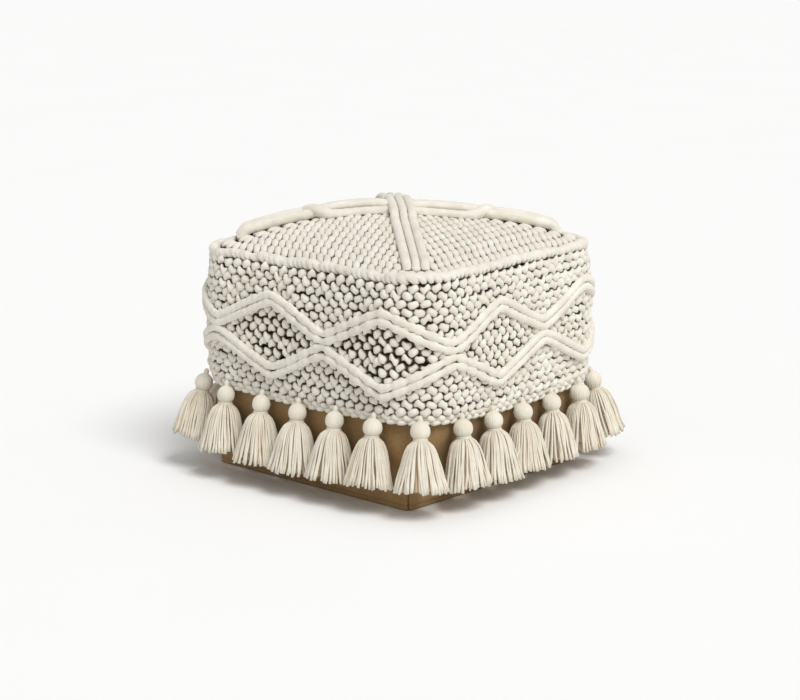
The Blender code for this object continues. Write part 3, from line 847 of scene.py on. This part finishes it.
def zigzag_cord(middle, sign, number):
    """One cord of a zigzag pair, lying on the band.

    Its height is the middle plus the signed zigzag, its section stands square to its
    route, and it has shallow waists where the stitches under it hold it down. Near the front
    corner it is a row of separate leaves.
    """
    cords = bpy.context.scene.cushion_cords
    u = np.arange(CORD_STEPS) / CORD_STEPS
    base, normal = outline(u, WALL_HALF, WALL_CORNER)
    z = middle + sign * cords.swing * zigzag(u)
    wander = 0.0007 * np.sin(TURN * (17 * u + 0.31 * number))
    out = cords.lift + band_profile(z) + 0.0005 * np.sin(TURN * (23 * u + 0.17 * number))
    route = base + normal * out[:, None] + (z + wander)[:, None] * UP
    ahead = unit(np.roll(route, -1, 0) - np.roll(route, 1, 0))
    side = unit(np.cross(normal, ahead))
    leafy = ease(1.4 * raised(TURN * (u - LEAFIEST)) ** 6)
    swell = 1.0 - leafy * (1.0 - knobbly(route, LEAF, 0.30))
    uneven = 1.0 + 0.06 * np.sin(TURN * (41 * u + 0.6 * number)) * np.sin(TURN * 67 * u)
    thick = 0.88 * cords.radius * swell * uneven * knobbly(route, TACK, 0.09)
    wide = 1.10 * cords.radius * (1.0 + 0.10 * leafy) * swell * knobbly(route, TACK, 0.17)
    return sweep(route[None], normal[None], side[None], thick[None], wide[None], 12, True,
                 cords.lift - 0.0037)


class CUSHION_OT_zigzags(bpy.types.Operator):
    """Lay the four raised cords that zigzag round the sides"""
    bl_idname = "cushion.zigzags"
    bl_label = "Zigzag Cords"

    def execute(self, context):
        offset = context.scene.cushion_cords.offset
        cords = ((UPPER_Z + offset, 1), (UPPER_Z - offset, 1),
                 (LOWER_Z + offset, -1), (LOWER_Z - offset, -1))
        for number, (middle, sign) in enumerate(cords, start=1):
            make_piece("raised_zigzag_%d" % number, [zigzag_cord(middle, sign, number)],
                       cord_yarn(), "cover", ["zigzag_cord_%d" % number])
        return {"FINISHED"}


CABLE_END = 0.238             # half the length of a cable
CABLE_STEPS = 240
TUCKED_LENGTH = 0.016         # a cord's end dives over this length
TUCKED_DEPTH = 0.010
WAIST = 0.014                 # distance between a cable cord's shallow waists
CROSSING = 0.034              # half the length of the climb in the middle
CLIMB = 0.0080                # how far the front-back cable climbs over the other
OVERLAP_AT = 0.125            # where a cord of the left-right cable crosses over
OVERLAP_SPREAD = 0.018
PILE = 0.0068                 # how far the left-right cable swells away from the crossing
PILE_SPREAD = 0.028


def cable_cord(ahead, offset, lift, radius):
    """A cord of a cable along a diagonal of the top.

    offset, lift and radius are arrays over the route's steps: the shift square to the
    diagonal, the height over the dome and the thickness.
    """
    across = np.cross(UP, ahead)
    t = np.linspace(-CABLE_END, CABLE_END, len(offset))
    flat = t[:, None] * ahead + offset[:, None] * across
    up = dome_normal(flat[:, 0], flat[:, 1])
    sink = TUCKED_DEPTH * ease((np.abs(t) - CABLE_END + TUCKED_LENGTH) / TUCKED_LENGTH)
    route = flat + dome(flat[:, 0], flat[:, 1])[:, None] * UP
    route = route + up * (lift - sink)[:, None]
    along = unit(np.gradient(route, axis=0))
    side = unit(np.cross(up, along))
    waist = knobbly(route, WAIST, 0.05)
    return sweep(route[None], np.cross(along, side)[None], side[None],
                 (radius * waist)[None], (radius * waist)[None], 14, False,
                 (lift - sink - 0.003)[None])


class CUSHION_OT_cables(bpy.types.Operator):
    """Lay the two raised cables that cross on the top"""
    bl_idname = "cushion.cables"
    bl_label = "Top Cables"

    def execute(self, context):
        spacing = context.scene.cushion_cords.cable_spacing
        radius = context.scene.cushion_cords.radius
        t = np.linspace(-CABLE_END, CABLE_END, CABLE_STEPS)
        climb = CLIMB * ease(2.0 * (1.0 - np.abs(t) / (2.0 * CROSSING)))
        front_back = ((-spacing + 0 * t, 0.0012 + climb, radius * 1.20 + 0 * t),
                      (0 * t, 0.0024 + climb, radius * 1.04 + 0 * t),
                      (spacing + 0 * t, 0.0012 + climb, radius * 1.20 + 0 * t))
        past = ease((np.abs(t) - OVERLAP_AT + 0.022) / 0.044)
        over = np.exp(-((np.abs(t) - OVERLAP_AT) / OVERLAP_SPREAD) ** 2)
        ended = ease((np.abs(t) - OVERLAP_AT - 0.016) / 0.020)
        wide = 1.22 * spacing
        piled = PILE * (1.0 - np.exp(-(t / PILE_SPREAD) ** 2))
        # The first cord crosses over the other two at each overlap and ends beyond it.
        left_right = ((-wide + 2.0 * wide * past, 0.0010 + 0.0085 * over - 0.020 * ended,
                       radius * (1.40 + 0.22 * over)),
                      (-0.0040 * past, 0.0028 + piled * (1.0 - 0.5 * past) - 0.002 * over,
                       radius * (1.34 + 0.06 * past)),
                      (wide - 0.0040 * past, 0.0030 - 0.002 * over + 0.6 * piled,
                       radius * (1.34 + 0.10 * past)))
        for cable, ahead, cords in (("front_back", (1.0, -1.0, 0.0), front_back),
                                    ("left_right", (1.0, 1.0, 0.0), left_right)):
            for number, (offset, lift, thick) in enumerate(cords, start=1):
                cord = cable_cord(unit(np.array(ahead)), offset, lift, thick)
                make_piece("%s_cord_%d" % (cable, number), [cord], cord_yarn(), "cover",
                           ["%s_cable_%d" % (cable, number)])
        return {"FINISHED"}


# ---------------------------------------------------------------- tassels

# Depths below the loop
HEAD_MIDDLE = 0.0166
NECK = 0.0300
CORE_END = 0.0880
SKIRT_END = 0.1010
# Radii and half lengths
KNOT_HALF = 0.0053
KNOT_RADIUS = 0.0040
HEAD_HALF = 0.0138
HEAD_RADIUS = 0.0136
HEAD_RIBS = 26
THROAT = 0.0088               # the head narrows to this above its tie
TIE_RADIUS = 0.0096
TIE_CORD = 0.0011
WAIST_RADIUS = 0.0085         # the skirt where it leaves the tie
SHOULDER = 0.0100             # how far its shoulder stands out beyond that
FLATTENING = 0.20             # the skirt is this much flatter across the hem than along it
FLATTENED_OVER = 0.07


def tassel_axes(name):
    """Loop, outward, sideways and downward directions of a tassel, from its frame node."""
    loop = np.array(HINGES[name]["pos_m"])
    node = frame["nodes"][name].data
    places = np.empty(3 * len(node.vertices))
    node.vertices.foreach_get("co", places)
    down = unit(places.reshape(-1, 3).mean(0) - loop)
    outward = np.cross(np.array(HINGES[name]["axis"]), -UP)
    outward = unit(outward - down * (outward @ down))
    return loop, outward, np.cross(down, outward), down


def skirt_radius(depth, flare):
    """Skirt radius at a depth: a quick rounded shoulder under the tie, then a steady flare."""
    fall = np.maximum(depth - NECK, 0.0)
    shoulder = WAIST_RADIUS + SHOULDER * (1.0 - np.exp(-fall / 0.0050))
    spread = flare - WAIST_RADIUS - SHOULDER
    return shoulder + spread * (fall / (SKIRT_END - NECK)) ** 0.95


def flattened(depth):
    """Thickness of the skirt across the hem, against its width, at a depth."""
    return 1.0 - FLATTENING * ease((depth - NECK) / FLATTENED_OVER)


def tassel_blocks(name, seed):
    """Head, knot, neck ties, skirt and core of one tassel, as blocks.

    A strand leaves the neck at its own angle and follows the skirt's radius down to its own
    cut length, with a slight drift round the skirt and a wave. The head, the knot and the
    core that the strands lie on are turned forms, and the ties are two small rings.
    """
    tassel = bpy.context.scene.cushion_tassels
    chance = np.random.default_rng(seed)
    loop, outward, sideways, down = tassel_axes(name)

    x = np.linspace(-1.0, 1.0, 17)
    x = np.sign(x) * np.abs(x) ** 0.8
    ball = np.sqrt(np.maximum(1.0 - np.abs(x) ** 2.6, 0.0))
    peak = np.maximum(1.0 - np.abs(x + 1.0) * 0.9, 0.0) ** 1.5
    radius = HEAD_RADIUS * (1.0 + chance.normal(0.0, 0.03)) * np.maximum(ball - 0.25 * peak, 0.0)
    radius = np.maximum(radius, np.where(x > 0, THROAT, 0.0034))
    head = turned(loop, sideways, outward, down, HEAD_MIDDLE + HEAD_HALF * x, radius,
                  np.ones_like(x), 90, HEAD_RIBS, 0.075)

    x = np.linspace(-1.0, 1.0, 9)
    knot = turned(loop, sideways, outward, down, 0.0013 + KNOT_HALF * x,
                  KNOT_RADIUS * np.maximum(1.0 - x ** 2, 0.06) ** 0.5, np.ones_like(x), 12, 6,
                  0.10)

    ring = TURN * np.arange(26) / 26
    around_neck = np.cos(ring)[:, None] * sideways + np.sin(ring)[:, None] * outward
    ties = [sweep((loop + down * place + around_neck * TIE_RADIUS)[None], around_neck[None],
                  np.broadcast_to(down, around_neck.shape)[None], TIE_CORD, 0.0010, 6, True)
            for place in (NECK - 0.0009, NECK + 0.0009)]

    strands = tassel.strands + tassel.inner
    inner = np.arange(strands) >= tassel.strands
    number = np.where(inner, tassel.inner, tassel.strands)
    angle = TURN * (np.arange(strands) - np.where(inner, tassel.strands, 0)) / number
    angle = angle + chance.normal(0.0, 0.03, strands)
    t = np.linspace(0.0, 1.0, 11) ** 1.3
    whole = 0.0012 * chance.normal() + 0.0016 * np.sin(angle + chance.uniform(0.0, TURN))
    cut = SKIRT_END + whole + chance.normal(0.0, 0.0012, strands) - 0.003 * inner
    depth = NECK - 0.0010 + (cut - NECK)[:, None] * t
    drift = chance.normal(0.0, 0.085, strands)[:, None] * t ** 1.4
    wave = chance.uniform(0.0, TURN, strands)[:, None] + 7.0 * t
    drift = drift + 0.035 * np.sin(wave) * t * (1.0 - 0.5 * t)
    lock = 0.05 * np.sin(3.0 * angle + chance.uniform(0.0, TURN))[:, None] * t
    way = angle[:, None] + drift + lock
    lay = chance.normal(0.0, 1.0, strands)[:, None]
    full = skirt_radius(depth, tassel.flare) - tassel.strand
    spread = full + 0.0011 * lay * t ** 0.5 + 0.0006 * np.cos(1.7 * wave) * t
    spread = spread * np.where(inner, chance.uniform(0.30, 0.92, strands), 1.0)[:, None]
    circle = (np.cos(way)[..., None] * sideways
              + (np.sin(way) * flattened(depth))[..., None] * outward)
    route = loop + depth[..., None] * down + spread[..., None] * circle
    along = unit(np.gradient(route, axis=1))
    across = unit(np.cos(way)[..., None] * sideways + np.sin(way)[..., None] * outward)
    across = unit(across - along * np.sum(across * along, -1, keepdims=True))
    side = np.cross(along, across)
    room = 0.62 * TURN * full / tassel.strands
    thick = np.minimum(room, tassel.strand) * (
        1.0 + 0.12 * chance.normal(0.0, 1.0, strands))[:, None]
    # Inner strands stand lower in the relief, so they take more of the painted shade.
    skirt = sweep(route, across, side, thick, 1.05 * thick, 5, False,
                  0.0012 * lay * t ** 0.5 - 0.0044 - 0.002 * inner[:, None])

    deep = np.linspace(NECK, CORE_END, 8)
    core = turned(loop, sideways, outward, down, deep,
                  np.linspace(0.88, 0.74, 8) * (skirt_radius(deep, tassel.flare) - 0.002),
                  flattened(deep), 20)
    return head, knot, ties, skirt, core[:3] + (0.6 * core[3],)


def tassel_yarn():
    """The tassels' fine warm cream yarn."""
    tone = tuple(bpy.context.scene.cushion_tassels.colour)
    return shared_material("warm_tassel_yarn", yarn_material, tone, SHADOW_TAN, 0.012, 0.0008,
                           0.25, 0.0004)


class CUSHION_OT_tassels(bpy.types.Operator):
    """Tie the tassels round the hem"""
    bl_idname = "cushion.tassels"
    bl_label = "Tassels"

    def execute(self, context):
        for seed, name in enumerate(TASSELS, start=100):
            head, knot, ties, skirt, core = tassel_blocks(name, seed)
            for part, blocks in (("_head", [head, knot, *ties]), ("_skirt", [core, skirt])):
                make_piece(name + part, blocks, tassel_yarn(), name, [name])
        return {"FINISHED"}


# ---------------------------------------------------------------- canvas box and filling

FOOT_CORNER = 0.010
FOOT_TURN = np.radians(-3.0)
# A turned square with round corners reaches its flat half times cos + sin, plus the corner.
FOOT_HALF = ((span("canvas_bottom_panel")[1][0] - FOOT_CORNER)
             / (np.cos(FOOT_TURN) - np.sin(FOOT_TURN)) + FOOT_CORNER)
SEAT_HALF = span("canvas_top_panel")[1][0] + 0.0004
SEAT_CORNER = 0.060
FOOT_TOP = 0.036
SHOULDER_Z = 0.120
WALL_TOP = span("canvas_front_panel")[1][2]
ZIP_Z = 0.0165
CLOTH_FRAMES = 40
CLOTH_COLUMNS = 96            # a multiple of eight, so that columns fall on the corner seams
CLOTH_ROWS = 25
PUFF_LIMIT = 0.0045           # the foam holds the canvas's bulges back to this
PRESSED = 0.0016              # how far the canvas is pressed in behind the zip's puller
SEAM_GROOVE = 0.0018
SEAM_WIDTH = 0.0013
EDGE_RADIUS = 0.0030          # of the rounded edge round the underside
STITCH_Z = 0.0080             # height of the row of stitching over the foot
STITCH_GROOVE = 0.0009
ZIP_GROOVE = 0.0026
ZIP_GROOVE_HALF = 0.0085
SEAT_DROP = 0.0150            # the canvas seat lies this far under the knitting's edge


def box_wall(u, z, out):
    """Points of the canvas wall at fractions u and heights z, moved out along its normal.

    The half width, corner radius and turn ease from the foot's to the seat's.
    """
    s = ease((z - FOOT_TOP) / (SHOULDER_Z - FOOT_TOP))
    half = FOOT_HALF + (SEAT_HALF - FOOT_HALF) * s
    corner = FOOT_CORNER + (SEAT_CORNER - FOOT_CORNER) * s
    point, normal = outline(u, half, corner)
    point = point + normal * out[..., None]
    turn = FOOT_TURN * (1.0 - s)
    c, n = np.cos(turn), np.sin(turn)
    x = c * point[..., 0] - n * point[..., 1]
    y = n * point[..., 0] + c * point[..., 1]
    return np.stack([x, y, z], -1)


def corner_rich(steps):
    """Fractions round a square, closer together at its four corners."""
    u = np.arange(steps) / steps
    return u + 0.032 * np.sin(4 * TURN * u)


def puffed(steps, levels, top_z):
    """How far the canvas walls belly out, on a grid of heights by places round the box.

    A coarse closed box of cloth is blown up with its corner seams, underside and seat held,
    and its walls come to rest in soft bulges and shallow creases.
    """
    u = np.arange(steps) / steps
    z = np.linspace(0.0, top_z, levels)
    grid_u, grid_z = np.meshgrid(u, z)
    wall = box_wall(grid_u, grid_z, 0.0 * grid_u)
    points = wall.reshape(-1, 3)
    index = np.arange(levels * steps).reshape(levels, steps)
    mesh = bpy.data.meshes.new("cloth_box")
    mesh.from_pydata(points.tolist(), [], ring_quads(index).reshape(-1, 4).tolist()
                     + [index[0, ::-1].tolist(), index[-1].tolist()])
    cloth = bpy.data.objects.new("cloth_box", mesh)
    scene = bpy.context.scene
    scene.collection.objects.link(cloth)
    seam = np.abs(np.mod(grid_u * 4.0, 1.0) - 0.5) < 0.6 * 4.0 / steps
    held = seam | (grid_z < 0.001) | (grid_z > top_z - 0.001)
    group = cloth.vertex_groups.new(name="held")
    group.add(np.flatnonzero(held.ravel()).tolist(), 1.0, "REPLACE")
    modifier = cloth.modifiers.new("canvas", "CLOTH")
    settings = modifier.settings
    settings.quality = 8
    settings.mass = 0.4
    settings.tension_stiffness = 60.0
    settings.compression_stiffness = 60.0
    settings.shear_stiffness = 30.0
    settings.bending_stiffness = 1.5
    settings.use_pressure = True
    settings.uniform_pressure_force = 6.0
    settings.shrink_min = -0.012
    settings.vertex_group_mass = "held"
    settings.effector_weights.gravity = 0.0
    modifier.collision_settings.use_collision = False
    modifier.point_cache.frame_end = CLOTH_FRAMES
    for frame_number in range(1, CLOTH_FRAMES + 1):
        scene.frame_set(frame_number)
    rested = cloth.evaluated_get(bpy.context.evaluated_depsgraph_get()).to_mesh()
    moved = np.empty(3 * len(points))
    rested.vertices.foreach_get("co", moved)
    cloth.to_mesh_clear()
    bpy.data.objects.remove(cloth)
    bpy.data.meshes.remove(mesh)
    scene.frame_set(1)
    normal = unit(box_wall(grid_u, grid_z, 0.001 + 0.0 * grid_u) - wall)
    out = np.sum((moved.reshape(wall.shape) - wall) * normal, -1)
    return u, z, PUFF_LIMIT * np.tanh(out / PUFF_LIMIT)


def between(grid, rows, columns):
    """Values of a grid at fractional rows and columns, the columns wrapping round."""
    low = np.clip(np.floor(rows).astype(int), 0, grid.shape[0] - 2)
    left = np.floor(columns).astype(int)
    down, across = (rows - low)[:, None], (columns - left)[None]
    left, right = left % grid.shape[1], (left + 1) % grid.shape[1]
    upper = grid[low][:, left] * (1 - across) + grid[low][:, right] * across
    lower = grid[low + 1][:, left] * (1 - across) + grid[low + 1][:, right] * across
    return upper * (1 - down) + lower * down


def box_shell(top_z):
    """The closed canvas box as a block: underside, walls and crowned seat.

    The walls take the cloth's bulges, and pull in by a rounded groove at each corner seam,
    at a row of stitching over the foot and at the zip. Rings that shrink to the middle close
    the underside and the seat.
    """
    u = corner_rich(384)
    z = np.concatenate([EDGE_RADIUS * (1 - np.cos(np.linspace(0.0, 0.25 * TURN, 5))),
                        np.linspace(0.0045, 0.012, 8), np.linspace(0.014, top_z - 0.004, 50),
                        [top_z]])
    places, heights, puff = puffed(CLOTH_COLUMNS, CLOTH_ROWS, top_z)
    rows = z / heights[1]
    belly = between(puff, np.minimum(rows, len(heights) - 1.001), u / places[1])
    belly = belly * ease((0.20 - z) / 0.06)[:, None]
    # The canvas lies flat behind the zip's puller.
    belly = belly - PRESSED * ease((0.060 - z) / 0.015)[:, None] * (
        ease((0.150 - np.abs(u - 0.5)) / 0.03))[None]
    from_seam = np.abs(np.mod(u * 4.0, 1.0) - 0.5) * 0.25 * around(FOOT_HALF, FOOT_CORNER)
    seam = SEAM_GROOVE * np.exp(-(from_seam / SEAM_WIDTH) ** 2)
    edge = np.clip(1.0 - z / EDGE_RADIUS, 0.0, 1.0)
    rounding = EDGE_RADIUS * (1.0 - np.sqrt(1.0 - edge ** 2))
    stitch = STITCH_GROOVE * np.exp(-((z - STITCH_Z) / 0.0009) ** 2)
    zip_groove = ZIP_GROOVE * np.exp(-((z - ZIP_Z) / ZIP_GROOVE_HALF) ** 8)[:, None] * (
        ease((0.118 - np.abs(u - 0.5)) / 0.004))[None]
    out = belly - rounding[:, None] - stitch[:, None] - seam[None] - zip_groove
    grid_u = np.broadcast_to(u, out.shape)
    grid_z = np.broadcast_to(z[:, None], out.shape)
    wall = box_wall(grid_u, grid_z, out)
    shrink = np.array((0.99, 0.97, 0.9, 0.75, 0.5, 0.25, 0.02))
    flat = np.stack([shrink, shrink, shrink * 0 + 1], -1)[:, None]
    under, over = wall[0][None] * flat[::-1], wall[-1][None] * flat
    over[..., 2] = top_z + (TOP_EDGE_Z - SEAT_DROP - top_z) * ease((1.0 - shrink) / 0.05)[:, None]
    over[..., 2] += crown(over[..., 0], over[..., 1])
    # Painted shade: the relief falls with how far the wall is pulled in by its grooves and rounded
    # edge.
    relief = np.concatenate([np.ones((len(shrink), len(u))),
                             np.clip(1.0 + (out - belly) / 0.0022, 0.0, 1.0),
                             np.ones((len(shrink), len(u)))])
    return ring_block(np.concatenate([under, wall, over]), relief)


def ring_block(rings, relief=None):
    """A closed block through rings of points, its first and last ring filled flat."""
    steps, sides = rings.shape[:2]
    relief = np.ones((steps, sides)) if relief is None else relief
    index = np.arange(steps * sides).reshape(steps, sides)
    faces = [ring_quads(index).reshape(-1, 4), index[0, ::-1][None], index[-1][None]]
    points = rings.reshape(-1, 3)
    corners = [points[group][..., :2] for group in faces]
    return points, faces, corners, relief.ravel()


def flat_rings(half, corner, levels, scale):
    """Rings of a rounded block: an outline at each level, scaled."""
    u = corner_rich(96)
    base = outline(u, half, corner)[0]
    rings = [base * (s, s, 1.0) + z * UP for z, s in zip(levels, scale)]
    return np.stack(rings)


class CUSHION_OT_canvas(bpy.types.Operator):
    """Sew the canvas box and fill it with foam and wadding"""
    bl_idname = "cushion.canvas"
    bl_label = "Canvas Box"

    def execute(self, context):
        canvas = context.scene.cushion_canvas
        cloth = shared_material("tan_canvas", canvas_material, tuple(canvas.colour),
                                canvas.weave)
        panels = ["canvas_bottom_panel", "canvas_front_panel", "canvas_right_panel",
                  "canvas_left_panel", "canvas_back_panel", "canvas_back_strip",
                  "canvas_top_panel"]
        box = make_piece("canvas_box", [box_shell(WALL_TOP)], cloth, "insert",
                         panels)

        foam_low, foam_high = span("foam_core")
        half = SEAT_HALF - 0.012
        levels = np.concatenate([[foam_low[2] + 0.002], np.linspace(0.010, 0.280, 12),
                                 [foam_high[2]]])
        taper = FOOT_HALF / SEAT_HALF + (1 - FOOT_HALF / SEAT_HALF) * ease(
            (levels - FOOT_TOP) / (SHOULDER_Z - FOOT_TOP))
        rings = flat_rings(half, 0.04, levels, taper)
        foam = make_piece("foam_block", [ring_block(rings)],
                          shared_material("cut_foam", soft_material, FOAM_CREAM, 0.002, 0.0008),
                          "insert", ["foam_core"])

        low = span("fibre_wadding")[0]
        shrink = np.array((0.3, 0.6, 0.9, 1.0, 1.0, 0.97, 0.85, 0.6, 0.3, 0.05))
        base = np.concatenate([np.full(4, low[2]), [low[2] + 0.012], np.full(5, 0.0)])
        rings = flat_rings(0.19, 0.05, base, shrink)
        rings[5:, :, 2] = TOP_EDGE_Z - 0.0215 + crown(rings[5:, :, 0], rings[5:, :, 1])
        pad = make_piece("fibre_pad", [ring_block(rings)],
                         shared_material("fibre_fluff", soft_material, FIBRE_WHITE, 0.006, 0.002),
                         "insert", ["fibre_wadding"])
        return {"FINISHED"}


class CUSHION_OT_zip(bpy.types.Operator):
    """Finish the zip along the foot of the back wall"""
    bl_idname = "cushion.zip"
    bl_label = "Zip"

    def execute(self, context):
        tape = shared_material("woven_zip_tape", canvas_material, TAPE_BROWN, 0.0006)
        metal = shared_material("dull_brass", metal_material, BRASS)
        for name, finish in (("zip_tape_upper", tape), ("zip_tape_lower", tape),
                             ("zip_slider", metal), ("zip_puller", metal)):
            frame["nodes"][name].data.materials.clear()
            frame["nodes"][name].data.materials.append(finish)
        return {"FINISHED"}


# ---------------------------------------------------------------- stage

class CUSHION_OT_stage(bpy.types.Operator):
    """Set the floor, the soft studio light and the camera"""
    bl_idname = "cushion.stage"
    bl_label = "Stage"

    def execute(self, context):
        scene = context.scene
        stage = scene.cushion_stage
        floor_mesh = bpy.data.meshes.new("floor")
        size = 40.0
        floor_mesh.from_pydata([(-size, -size, 0), (size, -size, 0), (size, size, 0),
                                (-size, size, 0)], [], [(0, 1, 2, 3)])
        floor = bpy.data.objects.new("floor", floor_mesh)
        scene.collection.objects.link(floor)
        pale, shader, add, link = new_material("pale_floor", (0.93, 0.93, 0.925), 0.9)
        mottle = noise(add, add("ShaderNodeTexCoord"), 3.0)
        tone = mixed(add, mottle.outputs["Fac"], (0.92, 0.92, 0.915), (0.94, 0.94, 0.935))
        link(tone.outputs[2], shader.inputs["Base Color"])
        floor_mesh.materials.append(pale)

        world = bpy.data.worlds.new("studio")
        world.use_nodes = True
        world.node_tree.nodes["Background"].inputs["Color"].default_value = (1, 1, 1, 1)
        world.node_tree.nodes["Background"].inputs["Strength"].default_value = stage.sky
        scene.world = world
        scene.view_settings.view_transform = "Standard"

        right = np.array((np.cos(stage.azimuth), np.sin(stage.azimuth), 0.0))
        back = np.array((np.sin(stage.azimuth), -np.cos(stage.azimuth), 0.0))
        lamp = bpy.data.lights.new("key", "SUN")
        lamp.energy = stage.key
        lamp.angle = stage.softness
        light = bpy.data.objects.new("key", lamp)
        light.location = 1.0 * right + 1.5 * back + 2.4 * UP
        aim_at(light, (0.0, 0.0, 0.0))
        scene.collection.objects.link(light)

        lens = bpy.data.cameras.new("camera")
        lens.lens = stage.lens
        lens.sensor_width = 36.0
        lens.clip_start = 0.05
        lens.clip_end = 50.0
        camera = bpy.data.objects.new("camera", lens)
        flat = np.cos(stage.elevation)
        toward = back * flat + UP * np.sin(stage.elevation)
        camera.location = stage.aim * UP + stage.distance * toward
        aim_at(camera, (0.0, 0.0, stage.aim))
        scene.collection.objects.link(camera)
        scene.camera = camera
        return {"FINISHED"}


def aim_at(thing, target):
    """Turn a lamp or camera so that it looks at a point, level."""
    way = Vector(target) - thing.location
    thing.rotation_euler = way.to_track_quat("-Z", "Y").to_euler()


# ---------------------------------------------------------------- add-on

STEPS = (CUSHION_OT_stage, CUSHION_OT_canvas, CUSHION_OT_zip, CUSHION_OT_band,
         CUSHION_OT_top, CUSHION_OT_edges, CUSHION_OT_zigzags, CUSHION_OT_cables,
         CUSHION_OT_tassels)
GROUPS = (("cushion_knit", KnitSettings), ("cushion_cords", CordSettings),
          ("cushion_tassels", TasselSettings), ("cushion_canvas", CanvasSettings),
          ("cushion_stage", StageSettings))


class CUSHION_PT_panel(bpy.types.Panel):
    """The cushion's settings and the steps that make it"""
    bl_idname = "CUSHION_PT_panel"
    bl_label = "Floor Cushion"
    bl_space_type = "VIEW_3D"
    bl_region_type = "UI"
    bl_category = "Floor Cushion"

    def draw(self, context):
        for name, group in GROUPS:
            box = self.layout.box()
            for key in group.__annotations__:
                box.prop(getattr(context.scene, name), key)
        for step in STEPS:
            self.layout.operator(step.bl_idname)


def register():
    """Register the settings, the steps and the panel."""
    for name, group in GROUPS:
        bpy.utils.register_class(group)
        setattr(bpy.types.Scene, name, bpy.props.PointerProperty(type=group))
    for step in STEPS:
        bpy.utils.register_class(step)
    bpy.utils.register_class(CUSHION_PT_panel)


def unregister():
    """Remove them again."""
    bpy.utils.unregister_class(CUSHION_PT_panel)
    for step in reversed(STEPS):
        bpy.utils.unregister_class(step)
    for name, group in reversed(GROUPS):
        delattr(bpy.types.Scene, name)
        bpy.utils.unregister_class(group)


def main():
    """Make the whole cushion."""
    register()
    for step in STEPS:
        group, name = step.bl_idname.split(".")
        result = getattr(getattr(bpy.ops, group), name)()
        if result != {"FINISHED"}:
            raise RuntimeError(step.bl_label + " didn't finish")


if __name__ == "__main__":
    main()
